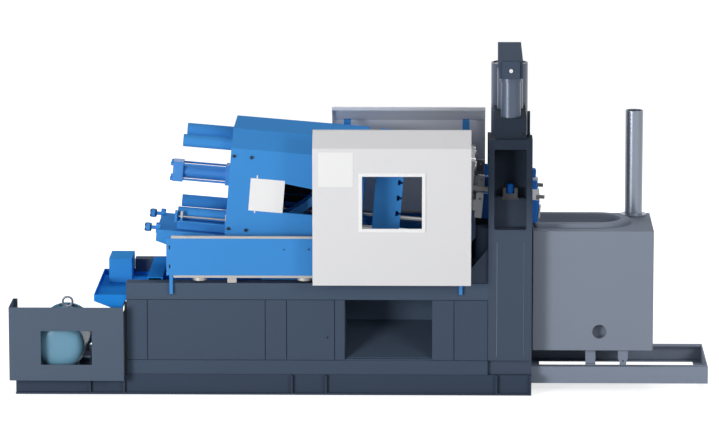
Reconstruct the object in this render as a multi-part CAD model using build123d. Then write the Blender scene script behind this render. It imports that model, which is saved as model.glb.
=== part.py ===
from build123d import *
from math import cos, radians, sin, tan
import os

# A hot-chamber die casting machine with a tilted toggle clamp on a long base.
# Millimetres. X runs along the machine, Y from the operator to the far side, Z up.
# Zero is the middle of the footprint on the floor.

# Driving sizes.
# Overall length, from the motor guard to the end of the furnace rails.
LENGTH = 4220.0

# Skid under the base. A channel web stands back from the edge of its foot flange.
SKID_INSET = 32.0
SKID_RIGHT = 1040.0
SKID_OUT = 20.0
SKID_HEIGHT = 122.0
SKID_WALL = 12.0
SKID_RECESS = 20.0
SKID_FLANGE = 52.0
POCKET_WIDTH = 216.0
POCKET_RIB = 10.0
POCKET_HOLE_R = 5.5
POCKET_LEFT = 229.0
POCKET_MIDDLE = 993.0

# Base: closed block below, square tubes along its top, sheet panels on its sides.
BASE_LEFT = -1405.0
BASE_HALF = 430.0
BEAM = 100.0
BASE_TOP = 684.0
PANEL_RECESS = 12.0
PANEL_THICK = 8.0
PANEL_GAP = 4.0
PLINTH = 90.0
SEAM_FIRST = 126.0
SEAM_SECOND = 838.0
SEAM_THIRD = 967.0
SEAM_FOURTH = 1257.0
SEAM_RIGHT = 132.0
REAR_PANELS = 4
CABLE_HOLE_R = 7.0
CABLE_HOLE_FROM_NICHE = 103.0
CABLE_HOLE_HIGH = 350.0
NICHE_LEFT = -86.0
NICHE_WIDTH = 526.0
NICHE_PAST_MIDDLE = 12.0
CHUTE_BACK = 20.0
CHUTE_DROP = 150.0
CHUTE_THICK = 6.0

# Motor corner.
GUARD_GAP = 13.0
GUARD_OUT = 60.0
GUARD_DEPTH = 280.0
GUARD_LOW = 26.0
GUARD_HEIGHT = 450.0
GUARD_SHEET = 5.0
GUARD_RETURN = 28.0
GUARD_STEP = 40.0
WINDOW_SIDE = 192.0
WINDOW_LOW = 98.0
WINDOW_HIGH = 208.0
MOTOR_IN = 298.0
MOTOR_R = 149.0
MOTOR_BEHIND = 70.0
MOTOR_LENGTH = 560.0
MOTOR_DOME = 60.0
MOTOR_FLANGE_R = 166.0
MOTOR_FLANGE = 22.0
MOTOR_FOOT = 16.0
MOTOR_FOOT_WIDTH = 56.0
MOTOR_FOOT_IN = 130.0
EYE_R = 30.0
EYE_WIRE_R = 7.0
EYE_BACK = 80.0
EYE_SIDE = 10.0
BELL_R = 92.0
BELL_LENGTH = 90.0
BELL_FOOT_IN = 20.0
PUMP_R = 66.0
PUMP_LENGTH = 150.0
HOSE_R = 15.0
HOSE_OUT = 76.0
HOSE_CLEAR = 70.0
HOSE_SIDE = 36.0
HOSE_BEND = 34.0
HOSE_TURN = 60.0
FITTING = 36.0

# Drip tray, tank box and cross tube on the left of the base.
TRAY_LONG = 197.0
TRAY_IN = 17.0
TRAY_WALL = 5.0
TRAY_UP = 23.0
TRAY_DOWN = 12.0
SUMP_DEPTH = 50.0
SUMP_SLOPE = 128.0
SUMP_TURN = 25.0
SUMP_STEP = 13.0
PAN_RIM = 22.0
BOX_IN = 49.0
BOX_WIDTH = 142.0
BOX_BACK = 3.0
BOX_DEPTH = 255.0
BOX_HEIGHT = 150.0
BOX_ROUND = 3.0
CROSS_IN = 121.0
CROSS_WIDTH = 93.0
CROSS_UP = 16.0
CROSS_WALL = 8.0

# Tilted clamp: u runs along the tie bars, w stands square to them.
# AXIS_HEIGHT is how high the clamp axis is over the floor at X = 0.
TILT = 4.8
AXIS_HEIGHT = 1208.0
BAR_Y = 213.0
BAR_W = 223.0
BAR_R = 21.0
BAR_IN = 20.0
BAR_OUT = 10.0
NUT_R = 40.0
NUT_LENGTH = 34.0
NUT_SINK = 30.0
SLEEVE_R = 37.5
SLEEVE_WALL = 5.0
SLEEVE_LONG = 303.0
HOOD_LEFT = -790.0
HOOD_RIGHT = 26.0
HOOD_HALF = 350.0
HOOD_TOP_HALF = 245.0
HOOD_TOP = 328.0
HOOD_BEND = 222.0
HOOD_SHEET = 6.0
HOOD_LOW_GAP = 8.0
SLOT_LEFT = -600.0
SLOT_RIGHT = -90.0
SLOT_LOW = -145.0
SLOT_HIGH = 50.0
SLOT_FALL = 60.0
SLOT_CORNER = 24.0
SLOT_LIP = 26.0
SLOT_RIM = 6.0
PLATE_LEFT = -659.0
PLATE_WIDTH = 207.0
PLATE_HEIGHT = 198.0
PLATE_LOW = -148.0
PLATE_THICK = 3.0
TAIL_THICK = 150.0
TAIL_SEAT = 20.0
BED_LONG = 415.0
BED_OVER = 12.0
BED_TOP = -324.0
BED_THICK = 71.0
BED_HALF = 287.0
BED_CHEEK = 30.0
BED_RISE = 20.0
BED_FOOT_X = -600.0
BED_SLAB_UP = 30.0
BED_FOOT_GAP = 4.0
BED_END = 220.0
BED_HOOD_LAP = 60.0
BED_RIM = 150.0
CYL_LONG = 355.0
CYL_CAP = 62.0
CYL_CAP_HALF = 61.0
CYL_CAP_ROUND = 6.0
CYL_NOSE = 40.0
CYL_R = 39.0
CYL_BORE_R = 31.0
CYL_TIE_R = 6.5
CYL_TIE_OUT = 16.0
CYL_TIE = 46.0
PISTON_AT = 120.0
PISTON_LENGTH = 40.0
PISTON_PLAY = 0.5
ROD_R = 19.0
ROD_OUT = 20.0
HEAD_LENGTH = 70.0
HEAD_HALF = 44.0
HEAD_ROUND = 8.0
FLANGE_Y = 238.0
FLANGE_R = 27.0
FLANGE_NECK_R = 11.0
FLANGE_NECK = 68.0
FLANGE_TIP = 8.0
FLANGE_THICK = 24.0
FLANGE_FOOT = 28.0
FLANGE_HOOK = 6.0
FLANGE_UP = 2.0
SCALE_OUT = 67.0
SCALE_R = 5.0
SCALE_DROP = 10.0
SCALE_END = 14.0
SCALE_END_DEEP = 21.0
SCALE_END_HIGH = 38.0
SHELF = 8.0
SHELF_OUT = 6.0
SHELF_IN = 20.0
SHELF_HOOK = 14.0
BUMP_LEFT = -922.0
BUMP_WIDTH = 50.0
BUMP_PITCH = 62.0
BUMP_HIGH = 44.0
BUMP_IN = 150.0
BUMP_DEEP = 36.0
PLATEN_LEFT = 91.0
PLATEN_THICK = 166.0
PLATEN_HALF = 330.0
PLATEN_HIGH = 310.0
PLATEN_GAP = 6.0
PLATEN_ROUND = 12.0
TSLOT_PITCH = 95.0
TSLOT_NECK = 14.0
TSLOT_HEAD = 30.0
TSLOT_DEPTH = 31.0
TSLOT_LIP = 15.0
FIXED_GAP = 99.0
FIXED_THICK = 118.0
FIXED_TOP = 262.0
SPRUE_R = 60.0
# Radial play of a bar in its bush and of a pin in its eye.
RUN_GAP = 0.08

# Toggle, both sets folded inward.
PIVOT_W = 235.0
PIVOT_FRONT = 55.0
PIVOT_REAR = 194.0
KNEE_W = 40.0
EYE_OUT_R = 34.0
PIN_R = 19.0
REAR_IN = 60.0
LINK_THICK = 34.0
LINK_GAP = 6.0
LINK_WAIST = 22.0
LINK_EYE_SHARE = 0.9
LINK_WEB_R = 17.6

# Doors and the panels that carry them.
DOOR_GAP = 104.0
DOOR_WIDTH = 949.0
DOOR_OUT = 110.0
DOOR_UP = 12.0
DOOR_WALL = 831.0
DOOR_LEAN = 95.0
DOOR_SHEET = 4.0
DOOR_RETURN = 30.0
DOOR_LIP = 20.0
DOOR_FOLD = 12.0
# The far door stands further right by this.
DOOR_SHIFT = 90.0
VIEW_IN = 297.0
VIEW_WIDTH = 358.0
VIEW_UP = 347.0
VIEW_HEIGHT = 316.0
VIEW_FRAME = 22.0
VIEW_PROUD = 5.0
PANEL_OUT = 20.0
PANEL_IN_LEFT = 245.0
PANEL_IN_RIGHT = 111.0
PANEL_UP = 50.0
PANEL_HEIGHT = 226.0
PANEL_SHEET = 5.0
RAIL_HIGH = 14.0
RAIL_DEEP = 22.0
RAIL_TOP_IN = 30.0
RAIL_LOW_LEFT = 42.0
RAIL_LOW_RIGHT = 70.0
LEG_WIDTH = 20.0
LEG_DOWN = 64.0
LEG_LAP = 40.0
LEG_LEFT_IN = 18.0
LEG_RIGHT_IN = 64.0
ROLLER_R = 30.0
ROLLER_GAP = 0.5
ROLLER_AXLE_R = 12.0
ROLLER_IN = 110.0
CARRIER_HALF = 40.0
CARRIER_THICK = 8.0
SLIT_IN = 20.0
SLIT_UP = 55.0
SLIT_WIDTH = 8.0
SLIT_HEIGHT = 24.0
POST_WIDTH = 43.0
POST_THICK = 8.0
POST_IN = 8.0
POST_TOP = 1548.0
POST_LEFT = -111.0
POST_RIGHT = 622.0
POST_ARM = 24.0
PUCK_R = 42.0
PUCK_HIGH = 18.0
PUCK_IN = 60.0
PUCK_LEFT = 199.0
PUCK_PITCH = 630.0
STOP_LEFT = 367.0
STOP_WIDTH = 55.0
STOP_HIGH = 32.0

# Tower.
TOWER_WIDTH = 263.0
TOWER_IN = 240.0
TOWER_SILL_BACK = 26.0
WAIST_GAP = 8.3
COLUMN_HIGH = 548.0
REAR_DROP = 92.0
BRIDGE_DEEP = 60.0
TOWER_POST = 35.0
TOWER_HEAD = 60.0
TOWER_WALL = 12.0
POCKET_ROUND = 9.0
SHOULDER_UP = 184.0
SHOULDER_FALL = 10.0
SHOULDER_ROUND = 18.0
SHOULDER_BACK = 110.0
BLOCK_WIDTH = 190.0
BLOCK_HIGH = 124.0
BLOCK_FRONT_IN = 30.0
BLOCK_BACK = 130.0
BLOCK_ROUND = 6.0
BEAM_WIDTH = 142.0
BEAM_UP = 367.0
BEAM_HIGH = 109.0
BEAM_IN = 12.0
HUB_OUT = 16.0
HUB_WIDTH = 104.0
HUB_DROP = 4.0
HUB_PIN_R = 11.0
HUB_PIN_UP = 50.0
HUB_PIN_OUT = 6.0
LIFT_R = 60.0
LIFT_IN = 88.0
LIFT_RING_R = 66.0
LIFT_RING = 26.0
SHOT_R = 78.0
TUBE_R = 112.0
TUBE_WALL = 10.0
TUBE_GAP = 33.0
TUBE_FLOOR = 20.0
GUSSET_LENGTH = 176.0
GUSSET_HEIGHT = 215.0
GUSSET_THICK = 12.0
PIPE_R = 9.0
PIPE_IN = 23.0
PIPE_BACK = 130.0
PIPE_HIGH = 154.0
PILLAR_R = 74.0
PILLAR_IN = 126.0

# Nozzle side.
MOUNT_LEFT = 29.0
MOUNT_RIGHT = 26.0
MOUNT_LOW = -95.0
MOUNT_HIGH = 160.0
MOUNT_THICK = 60.0
MOUNT_ROUND = 14.0
MOUNT_BRIDGE = 60.0
CHANNEL_LOW = 55.0
CHANNEL_HIGH = 102.0
TOE_LONG = 22.0
HOLDER_WIDTH = 38.0
HOLDER_LOW = 46.0
HOLDER_HIGH = 107.0
STUD_R = 11.5
STUD_LONG = 36.0
STUD_W = 62.0
TIP_THICK = 10.0
TIP_LOW = -66.0
TIP_HIGH = 11.0
GRIP_GAP = 23.0
GRIP_WIDTH = 45.0
GRIP_LOW = -84.0
GRIP_SPLIT_LOW = 68.0
GRIP_SPLIT_HIGH = 106.0
GRIP_HIGH = 176.0
GRIP_NEAR = 262.0
GRIP_DEEP = 40.0
GRIP_HOLE_R = 7.0
GRIP_HOLE_IN = 20.0
GRIP_HOLE_LOW = 34.0
GRIP_HOLE_HIGH = 150.0
GUIDE_LOW = 81.0
GUIDE_LENGTH = 92.0
NECK_LOW = -40.0
NECK_HIGH = 20.0
SADDLE_WIDTH = 88.0
SADDLE_HIGH = 61.0
SADDLE_BASE = 27.0
SADDLE_PIN_R = 24.0
SADDLE_PLAY = 1.0
SADDLE_DEEP = 60.0
SADDLE_PIN_UP = 22.0

# Furnace and its rails.
FURNACE_GAP = 6.0
FURNACE_LONG = 730.0
FURNACE_HALF = 317.0
FURNACE_LEG = 96.0
FURNACE_DROP = 28.0
FURNACE_ROUND = 6.0
BATH_HALF = 150.0
BATH_IN = 30.0
BATH_LONG = 510.0
BATH_ROUND = 24.0
BATH_DEPTH = 420.0
RIM_WIDTH = 60.0
RIM_END = 20.0
RIM_HIGH = 26.0
RIM_ROUND = 14.0
PORT_R = 43.0
PORT_IN = 324.0
PORT_UP = 115.0
PORT_DEEP = 60.0
FLUE_IN_X = 103.0
FLUE_IN_Y = 82.0
FLUE_R = 53.5
FLUE_WALL = 5.0
FLUE_HEIGHT = 654.0
FLUE_RING_R = 80.0
FLUE_RING = 12.0
FLUE_FLOOR = 20.0
LUG_IN_X = 179.0
LUG_IN_Y = 22.0
LUG_STRAIGHT = 53.0
LUG_TOP_WIDTH = 60.0
LUG_LOW_WIDTH = 34.0
LUG_THICK = 14.0
LUG_HOLE_R = 7.0
LUG_HOLE_UP = 16.0
SHOE_HALF = 20.0
SHOE_EDGE = 4.0
SHOE_THICK = 8.0
SHOE_PLAY = 0.3
RAIL_LOW = 54.0
RAIL_BEAM = 103.0
RAIL_OUT = 23.0
RAIL_WALL = 8.0
RAIL_FLANGE = 60.0
LEG_BACK = 227.0
LEG_PLATE_WIDTH = 61.0
LEG_PLATE_LOW = 100.0
LEG_PLATE_PLAY = 6.0

# Sizes that follow from the ones above.
guard_left = -LENGTH / 2
rail_end = LENGTH / 2
skid_left = guard_left + SKID_INSET
skid_half = BASE_HALF + SKID_OUT
base_right = SKID_RIGHT - TOWER_WIDTH
tower_x = (base_right + SKID_RIGHT) / 2
beam_low = BASE_TOP - BEAM
sill_top = SKID_HEIGHT + PLINTH
body_half = BASE_HALF - PANEL_RECESS
panel_y = BASE_HALF + PANEL_OUT
door_half = panel_y + DOOR_OUT
tail_left = HOOD_LEFT + HOOD_SHEET
tail_right = tail_left + TAIL_THICK
cos_tilt = cos(radians(TILT))
sin_tilt = sin(radians(TILT))
mount_left = base_right - MOUNT_LEFT
mount_right = SKID_RIGHT + MOUNT_RIGHT
toe_right = mount_right + TOE_LONG
# The tower's waist clears the low corner of the nozzle mount, and the furnace top lies under the waist.
tower_waist = AXIS_HEIGHT - toe_right * sin_tilt + MOUNT_LOW * cos_tilt - WAIST_GAP
tower_top = tower_waist + COLUMN_HIGH
rear_top = tower_top - REAR_DROP
furnace_high = tower_waist - FURNACE_DROP

# Small tools.


def block(x0, x1, y0, y1, z0, z1):
    return Pos((x0 + x1) / 2, (y0 + y1) / 2, (z0 + z1) / 2) * Box(x1 - x0, y1 - y0, z1 - z0)


def round_x(x0, x1, y, z, r):
    return Pos((x0 + x1) / 2, y, z) * Rot(0, 90, 0) * Cylinder(r, x1 - x0)


def round_y(y0, y1, x, z, r):
    return Pos(x, (y0 + y1) / 2, z) * Rot(90, 0, 0) * Cylinder(r, y1 - y0)


def round_z(z0, z1, x, y, r):
    return Pos(x, y, (z0 + z1) / 2) * Cylinder(r, z1 - z0)


def prism_y(points, y0, y1):
    """A flat outline in X and Z, drawn out from y0 to y1."""
    outline = Polygon(*points, align=None)
    return Pos(0, y1, 0) * Rot(90, 0, 0) * extrude(outline, amount=y1 - y0, dir=(0, 0, 1))


def prism_x(points, x0, x1):
    """A flat outline in Y and Z, drawn out from x0 to x1."""
    outline = Plane.YZ * Polygon(*points, align=None)
    return Pos(x0, 0, 0) * extrude(outline, amount=x1 - x0, dir=(1, 0, 0))


def span(side, near, far):
    """Low and high Y of a piece that lies between two distances on one side."""
    return min(side * near, side * far), max(side * near, side * far)


def sides(make):
    """The same piece on the operator's side and on the far side."""
    near = make(-1)
    far = make(1)
    return near + far


def tilted(shape):
    """Sets a shape drawn in u, Y, w on the tilted clamp axis."""
    return Pos(0, 0, AXIS_HEIGHT) * Rot(0, TILT, 0) * shape


def four_bars(u0, u1, r):
    bars = None
    for y in (-BAR_Y, BAR_Y):
        for w in (-BAR_W, BAR_W):
            bar = round_x(u0, u1, y, w, r)
            bars = bar if bars is None else bars + bar
    return bars


nodes = {}

# Skid: two channels with their feet outward, tied by cross beams and ribbed where a lifting fork goes.

skid_web = skid_half - SKID_RECESS


def skid_channel(side):
    inner = skid_half - SKID_FLANGE
    foot = block(skid_left, SKID_RIGHT, *span(side, inner, skid_half), 0, SKID_WALL)
    web = block(skid_left, SKID_RIGHT, *span(side, skid_web - SKID_WALL, skid_web), 0, SKID_HEIGHT)
    lid = block(skid_left, SKID_RIGHT, *span(side, inner, skid_web), SKID_HEIGHT - SKID_WALL, SKID_HEIGHT)
    return foot + web + lid


def skid_pocket(left, side):
    low, high = span(side, skid_web - SKID_WALL / 2, skid_half)
    rib = block(left, left + POCKET_RIB, low, high, 0, SKID_HEIGHT)
    return rib + Pos(POCKET_WIDTH - POCKET_RIB, 0, 0) * rib


motor_x = guard_left + MOTOR_IN
skid = sides(skid_channel)
cross_places = [
    skid_left,
    motor_x - MOTOR_R,
    motor_x + MOTOR_R - BEAM,
    BASE_LEFT,
    -BEAM / 2,
    SKID_RIGHT - BEAM,
]
inner_half = skid_web - SKID_WALL
for place in cross_places:
    skid += block(place, place + BEAM, -inner_half, inner_half, 0, SKID_HEIGHT)
pocket_places = [BASE_LEFT - POCKET_LEFT, BASE_LEFT + POCKET_MIDDLE, SKID_RIGHT - POCKET_WIDTH]
for place in pocket_places:
    skid += sides(lambda side: skid_pocket(place, side))
hole_y = skid_half - SKID_RECESS / 2
for place in pocket_places:
    for side in (-1, 1):
        skid -= round_z(-1, SKID_WALL + 1, place + POCKET_WIDTH / 2, side * hole_y, POCKET_HOLE_R)
nodes["base_skid"] = skid

# Base: a closed block with the casting niche, and square tubes along its top.

niche_bottom = sill_top + PANEL_GAP
niche_right = NICHE_LEFT + NICHE_WIDTH
niche_back = NICHE_PAST_MIDDLE
body = block(BASE_LEFT, base_right, -body_half, body_half, SKID_HEIGHT, beam_low)
body -= block(NICHE_LEFT, niche_right, -body_half - 1, niche_back, niche_bottom, beam_low - PANEL_GAP)
frame = sides(lambda side: block(BASE_LEFT, base_right, *span(side, BASE_HALF - BEAM, BASE_HALF),
                                 beam_low, BASE_TOP))
frame += block(base_right - BEAM, base_right, -BASE_HALF, BASE_HALF, beam_low, BASE_TOP)
nodes["base_body"] = body + frame


def wall_panels(side, edges, low, high):
    y0, y1 = span(side, body_half, body_half + PANEL_THICK)
    made = None
    for left, right in zip(edges[:-1], edges[1:]):
        sheet = block(left + PANEL_GAP / 2, right - PANEL_GAP / 2, y0, y1, low, high)
        made = sheet if made is None else made + sheet
    return made


front_left_edges = [
    BASE_LEFT,
    BASE_LEFT + SEAM_FIRST,
    BASE_LEFT + SEAM_SECOND,
    BASE_LEFT + SEAM_THIRD,
    BASE_LEFT + SEAM_FOURTH,
    NICHE_LEFT,
]
front_right_edges = [niche_right, niche_right + SEAM_RIGHT, base_right]
upper_high = beam_low - PANEL_GAP
panels = wall_panels(-1, front_left_edges, sill_top, upper_high)
panels += wall_panels(-1, front_right_edges, sill_top, upper_high)
panels += wall_panels(-1, [BASE_LEFT, base_right], SKID_HEIGHT, sill_top - PANEL_GAP)
rear_step = (base_right - BASE_LEFT) / REAR_PANELS
rear_edges = [BASE_LEFT + rear_step * count for count in range(REAR_PANELS + 1)]
panels += wall_panels(1, rear_edges, sill_top, upper_high)
panels += wall_panels(1, [BASE_LEFT, base_right], SKID_HEIGHT, sill_top - PANEL_GAP)
panels -= round_y(-BASE_HALF, -body_half, NICHE_LEFT - CABLE_HOLE_FROM_NICHE, CABLE_HOLE_HIGH, CABLE_HOLE_R)
nodes["base_panels"] = panels

chute_front = -body_half + CHUTE_BACK
chute_points = [
    (chute_front, niche_bottom),
    (niche_back, niche_bottom),
    (niche_back, niche_bottom + CHUTE_DROP + CHUTE_THICK),
    (chute_front, niche_bottom + CHUTE_THICK),
]
nodes["chute"] = prism_x(chute_points, NICHE_LEFT, niche_right)

# Motor corner: sheet guard with its window, the motor with its domed cowl, bell housing and pump.

guard_right = BASE_LEFT - GUARD_GAP
guard_front = skid_half + GUARD_OUT
guard_back = guard_front - GUARD_DEPTH
guard_bottom = SKID_HEIGHT - GUARD_LOW
guard_top = guard_bottom + GUARD_HEIGHT
window_left = guard_left + WINDOW_SIDE
window_right = guard_right - WINDOW_SIDE
window_low = guard_bottom + WINDOW_LOW
floor_top = SKID_HEIGHT + GUARD_SHEET
guard = block(guard_left, guard_right, -guard_front, -guard_front + GUARD_SHEET, guard_bottom, guard_top)
guard -= block(window_left, window_right, -guard_front - 1, -guard_front + GUARD_SHEET + 1,
               window_low, window_low + WINDOW_HIGH)
guard += block(guard_left, guard_left + GUARD_SHEET, -guard_front, -guard_back, SKID_HEIGHT, guard_top)
guard += block(guard_left, guard_left + GUARD_RETURN, -guard_back - GUARD_SHEET, -guard_back,
               SKID_HEIGHT, guard_top)
guard += block(guard_right - GUARD_SHEET, guard_right, -guard_front, -guard_back, SKID_HEIGHT,
               guard_top - GUARD_STEP)
guard += block(guard_left, guard_right, -guard_front, -skid_half + SKID_FLANGE, SKID_HEIGHT, floor_top)
guard += block(guard_left, skid_left + SKID_FLANGE, -guard_front, -guard_back, SKID_HEIGHT, floor_top)
nodes["motor_guard"] = guard

motor_z = SKID_HEIGHT + MOTOR_FOOT + MOTOR_R
motor_front = -(guard_front - MOTOR_BEHIND)
motor_back = motor_front + MOTOR_LENGTH
dome_end = motor_front + MOTOR_DOME
flange_start = motor_back - MOTOR_FLANGE
with BuildPart() as motor_form:
    with BuildSketch(Plane.YZ) as half:
        with BuildLine():
            Polyline((dome_end, MOTOR_R),
                     (flange_start, MOTOR_R),
                     (flange_start, MOTOR_FLANGE_R),
                     (motor_back, MOTOR_FLANGE_R),
                     (motor_back, 0),
                     (motor_front, 0),
                     (motor_front, MOTOR_R * 0.45))
            Spline((motor_front, MOTOR_R * 0.45), (motor_front + MOTOR_DOME * 0.25, MOTOR_R * 0.86),
                   (dome_end, MOTOR_R), tangents=((0, 1), (1, 0)))
        make_face()
    revolve(axis=Axis.Y)
motor = Pos(motor_x, 0, motor_z) * motor_form.part
foot_places = (motor_front + MOTOR_FOOT_IN, motor_back - MOTOR_FOOT_IN)
for foot_y in foot_places:
    y0 = foot_y - MOTOR_FOOT_WIDTH / 2
    y1 = foot_y + MOTOR_FOOT_WIDTH / 2
    motor += block(motor_x - MOTOR_R, motor_x + MOTOR_R, y0, y1, SKID_HEIGHT, SKID_HEIGHT + MOTOR_FOOT)
    motor += block(motor_x - MOTOR_R * 0.7, motor_x + MOTOR_R * 0.7, y0, y1,
                   SKID_HEIGHT, motor_z - MOTOR_R * 0.5)
nodes["pump_motor"] = motor

eye_x = motor_x + EYE_SIDE
eye_y = motor_back - EYE_BACK
eye_z = motor_z + MOTOR_R + EYE_R + EYE_WIRE_R
eye = Pos(eye_x, eye_y, eye_z) * Rot(90, 0, 90) * Torus(EYE_R, EYE_WIRE_R)
eye += round_z(motor_z + MOTOR_R - EYE_WIRE_R, eye_z - EYE_R, eye_x, eye_y, EYE_WIRE_R * 2)
eye -= round_y(motor_front, motor_back, motor_x, motor_z, MOTOR_R)
nodes["motor_eye"] = eye

bell_back = motor_back + BELL_LENGTH
bell = round_y(motor_back, bell_back, motor_x, motor_z, BELL_R)
bell += round_y(bell_back, bell_back + PUMP_LENGTH, motor_x, motor_z, PUMP_R)
bell += block(motor_x - BELL_R, motor_x + BELL_R, motor_back + BELL_FOOT_IN, bell_back, SKID_HEIGHT, motor_z)

hose_y = bell_back + PUMP_LENGTH / 2
hose_x = motor_x + PUMP_R + HOSE_OUT
hose_turn = SKID_HEIGHT + HOSE_CLEAR
fitting_x = hose_x - HOSE_SIDE
fitting_z = SKID_HEIGHT + FITTING / 2
hose_points = [
    (motor_x + PUMP_R, hose_y, motor_z),
    (hose_x, hose_y, motor_z),
    (hose_x, hose_y, hose_turn),
    (fitting_x, hose_y, fitting_z + FITTING / 2),
]
with BuildPart() as hose_form:
    with BuildLine():
        FilletPolyline(*hose_points, radius=[HOSE_BEND, HOSE_TURN])
    with BuildSketch(Plane(origin=hose_points[0], z_dir=(1, 0, 0))):
        Circle(HOSE_R)
    sweep()
fitting = block(fitting_x - FITTING / 2, fitting_x + FITTING / 2,
                hose_y - FITTING / 2, hose_y + FITTING / 2, SKID_HEIGHT, fitting_z + FITTING / 2)
nodes["pump_hose"] = hose_form.part - block(motor_x, hose_x, hose_y - FITTING, hose_y + FITTING,
                                            SKID_HEIGHT, fitting_z + FITTING / 2)
nodes["hydraulic_pump"] = bell + fitting

# Drip tray with its sloping sump, the pan between the beams, the tank box and the cross tube.

tray_left = BASE_LEFT - TRAY_LONG
tray_half = BASE_HALF - TRAY_IN
tray_top = beam_low + TRAY_UP
tray_floor = beam_low - TRAY_DOWN
pan_half = BASE_HALF - BEAM
pan_right = base_right - BEAM
pan_floor = beam_low + TRAY_WALL
sump_low = tray_floor - TRAY_WALL - SUMP_DEPTH
sump_turn = tray_left + SUMP_SLOPE
tray_outline = [
    (tray_left, tray_top),
    (tray_left, tray_floor - TRAY_WALL),
    (sump_turn, sump_low),
    (BASE_LEFT - SUMP_TURN, sump_low),
    (BASE_LEFT - SUMP_STEP, tray_floor - TRAY_WALL),
    (BASE_LEFT, tray_floor),
    (BASE_LEFT, tray_top),
]
tray = prism_y(tray_outline, -tray_half, tray_half)
tray -= block(tray_left + TRAY_WALL, BASE_LEFT + 1, -tray_half + TRAY_WALL, tray_half - TRAY_WALL,
              tray_floor, tray_top + 1)
pan = block(BASE_LEFT, pan_right, -pan_half, pan_half, beam_low, beam_low + PAN_RIM)
pan -= block(BASE_LEFT - 1, pan_right - TRAY_WALL, -pan_half + TRAY_WALL, pan_half - TRAY_WALL,
             pan_floor, beam_low + PAN_RIM + 1)
pan += block(BASE_LEFT - TRAY_WALL, BASE_LEFT, -tray_half + TRAY_WALL, tray_half - TRAY_WALL,
             tray_floor, pan_floor)
nodes["drip_tray"] = tray + pan

box_left = tray_left + BOX_IN
box_back = tray_half - TRAY_WALL - BOX_BACK
case = block(box_left, box_left + BOX_WIDTH, box_back - BOX_DEPTH, box_back,
             tray_floor, tray_floor + BOX_HEIGHT)
nodes["tray_box"] = fillet(case.edges().filter_by(Axis.Z), BOX_ROUND)

cross_left = BASE_LEFT + CROSS_IN
cross_right = cross_left + CROSS_WIDTH
cross_top = BASE_TOP + CROSS_UP
cross_half = pan_half - TRAY_WALL - 1
cross = block(cross_left, cross_right, -cross_half, cross_half, pan_floor, cross_top)
cross -= block(cross_left + CROSS_WALL, cross_right - CROSS_WALL, -cross_half - 1, cross_half + 1,
               pan_floor + CROSS_WALL, cross_top - CROSS_WALL)
nodes["cross_tube"] = cross

# Tilted bed: a slab on two deep cheeks that stand on the pan, with the scale shelf in front.


def clamp_uw(x, z):
    """Floor frame point to clamp frame point."""
    rise = z - AXIS_HEIGHT
    return (x * cos_tilt - rise * sin_tilt, x * sin_tilt + rise * cos_tilt)


fixed_right = base_right - FIXED_GAP
fixed_left = fixed_right - FIXED_THICK
bed_left = HOOD_LEFT - BED_LONG
bed_right = fixed_right + BED_OVER
bed_low = BED_TOP - BED_THICK
foot_left = clamp_uw(BED_FOOT_X, pan_floor)
foot_right = clamp_uw(pan_right - TRAY_WALL - BED_FOOT_GAP, pan_floor)
rise_slope = tan(radians(BED_RISE - TILT))
knee_w = bed_low - (foot_left[0] - bed_left) * rise_slope
cheek_points = [
    (bed_left, BED_TOP),
    (bed_left, bed_low),
    (foot_left[0], knee_w),
    foot_left,
    foot_right,
    (bed_right, bed_low),
    (bed_right, BED_TOP),
]
slab_low = bed_low + BED_SLAB_UP
bed = block(bed_left, bed_right, -BED_HALF, BED_HALF, slab_low, BED_TOP)
rim_half = BED_HALF - BED_RIM
bed -= block(bed_left + BED_END, HOOD_LEFT + BED_HOOD_LAP, -rim_half, rim_half, slab_low - 1, BED_TOP + 1)
bed += sides(lambda side: prism_y(cheek_points, *span(side, BED_HALF - BED_CHEEK, BED_HALF)))
bed += block(bed_left, bed_left + BED_CHEEK, -BED_HALF, BED_HALF, bed_low, BED_TOP)
for left in (BUMP_LEFT, BUMP_LEFT + BUMP_PITCH):
    bed += sides(lambda side: block(left, left + BUMP_WIDTH, *span(side, BUMP_IN, BUMP_IN + BUMP_DEEP),
                                    BED_TOP, BED_TOP + BUMP_HIGH))

sleeve_left = tail_left - SLEEVE_LONG
scale_y = BAR_Y + SCALE_OUT
scale_w = -BAR_W - SCALE_DROP
scale_end_low = scale_w - SCALE_R - 1
shelf_top = -BAR_W - SLEEVE_R
shelf_low = shelf_top - SHELF
shelf_front = scale_y + SHELF_OUT
shelf = block(sleeve_left, tail_left, -shelf_front, -BAR_Y + SHELF_IN, shelf_low, shelf_top)
shelf += block(sleeve_left - SHELF_HOOK, sleeve_left, -shelf_front - SHELF_OUT, -scale_y + SHELF_IN,
               shelf_low, scale_end_low + SCALE_END_HIGH)
shelf += block(sleeve_left, tail_left, -BAR_Y - SHELF / 2, -BAR_Y + SHELF / 2, BED_TOP, shelf_low)
scale_places = (sleeve_left + BAR_IN, tail_left - SCALE_END)
for u in scale_places:
    shelf += block(u, u + SCALE_END, -scale_y - SHELF / 2, -scale_y + SHELF, shelf_top, scale_end_low)
nodes["clamp_bed"] = tilted(bed + shelf)

track = round_x(sleeve_left + BAR_IN / 2, tail_left, -scale_y, scale_w, SCALE_R)
ends = None
for u in scale_places:
    y0 = -scale_y - SCALE_END_DEEP / 2
    one = block(u, u + SCALE_END, y0, y0 + SCALE_END_DEEP, scale_end_low, scale_end_low + SCALE_END_HIGH)
    ends = one if ends is None else ends + one
nodes["linear_scale"] = tilted(track + ends)


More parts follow.
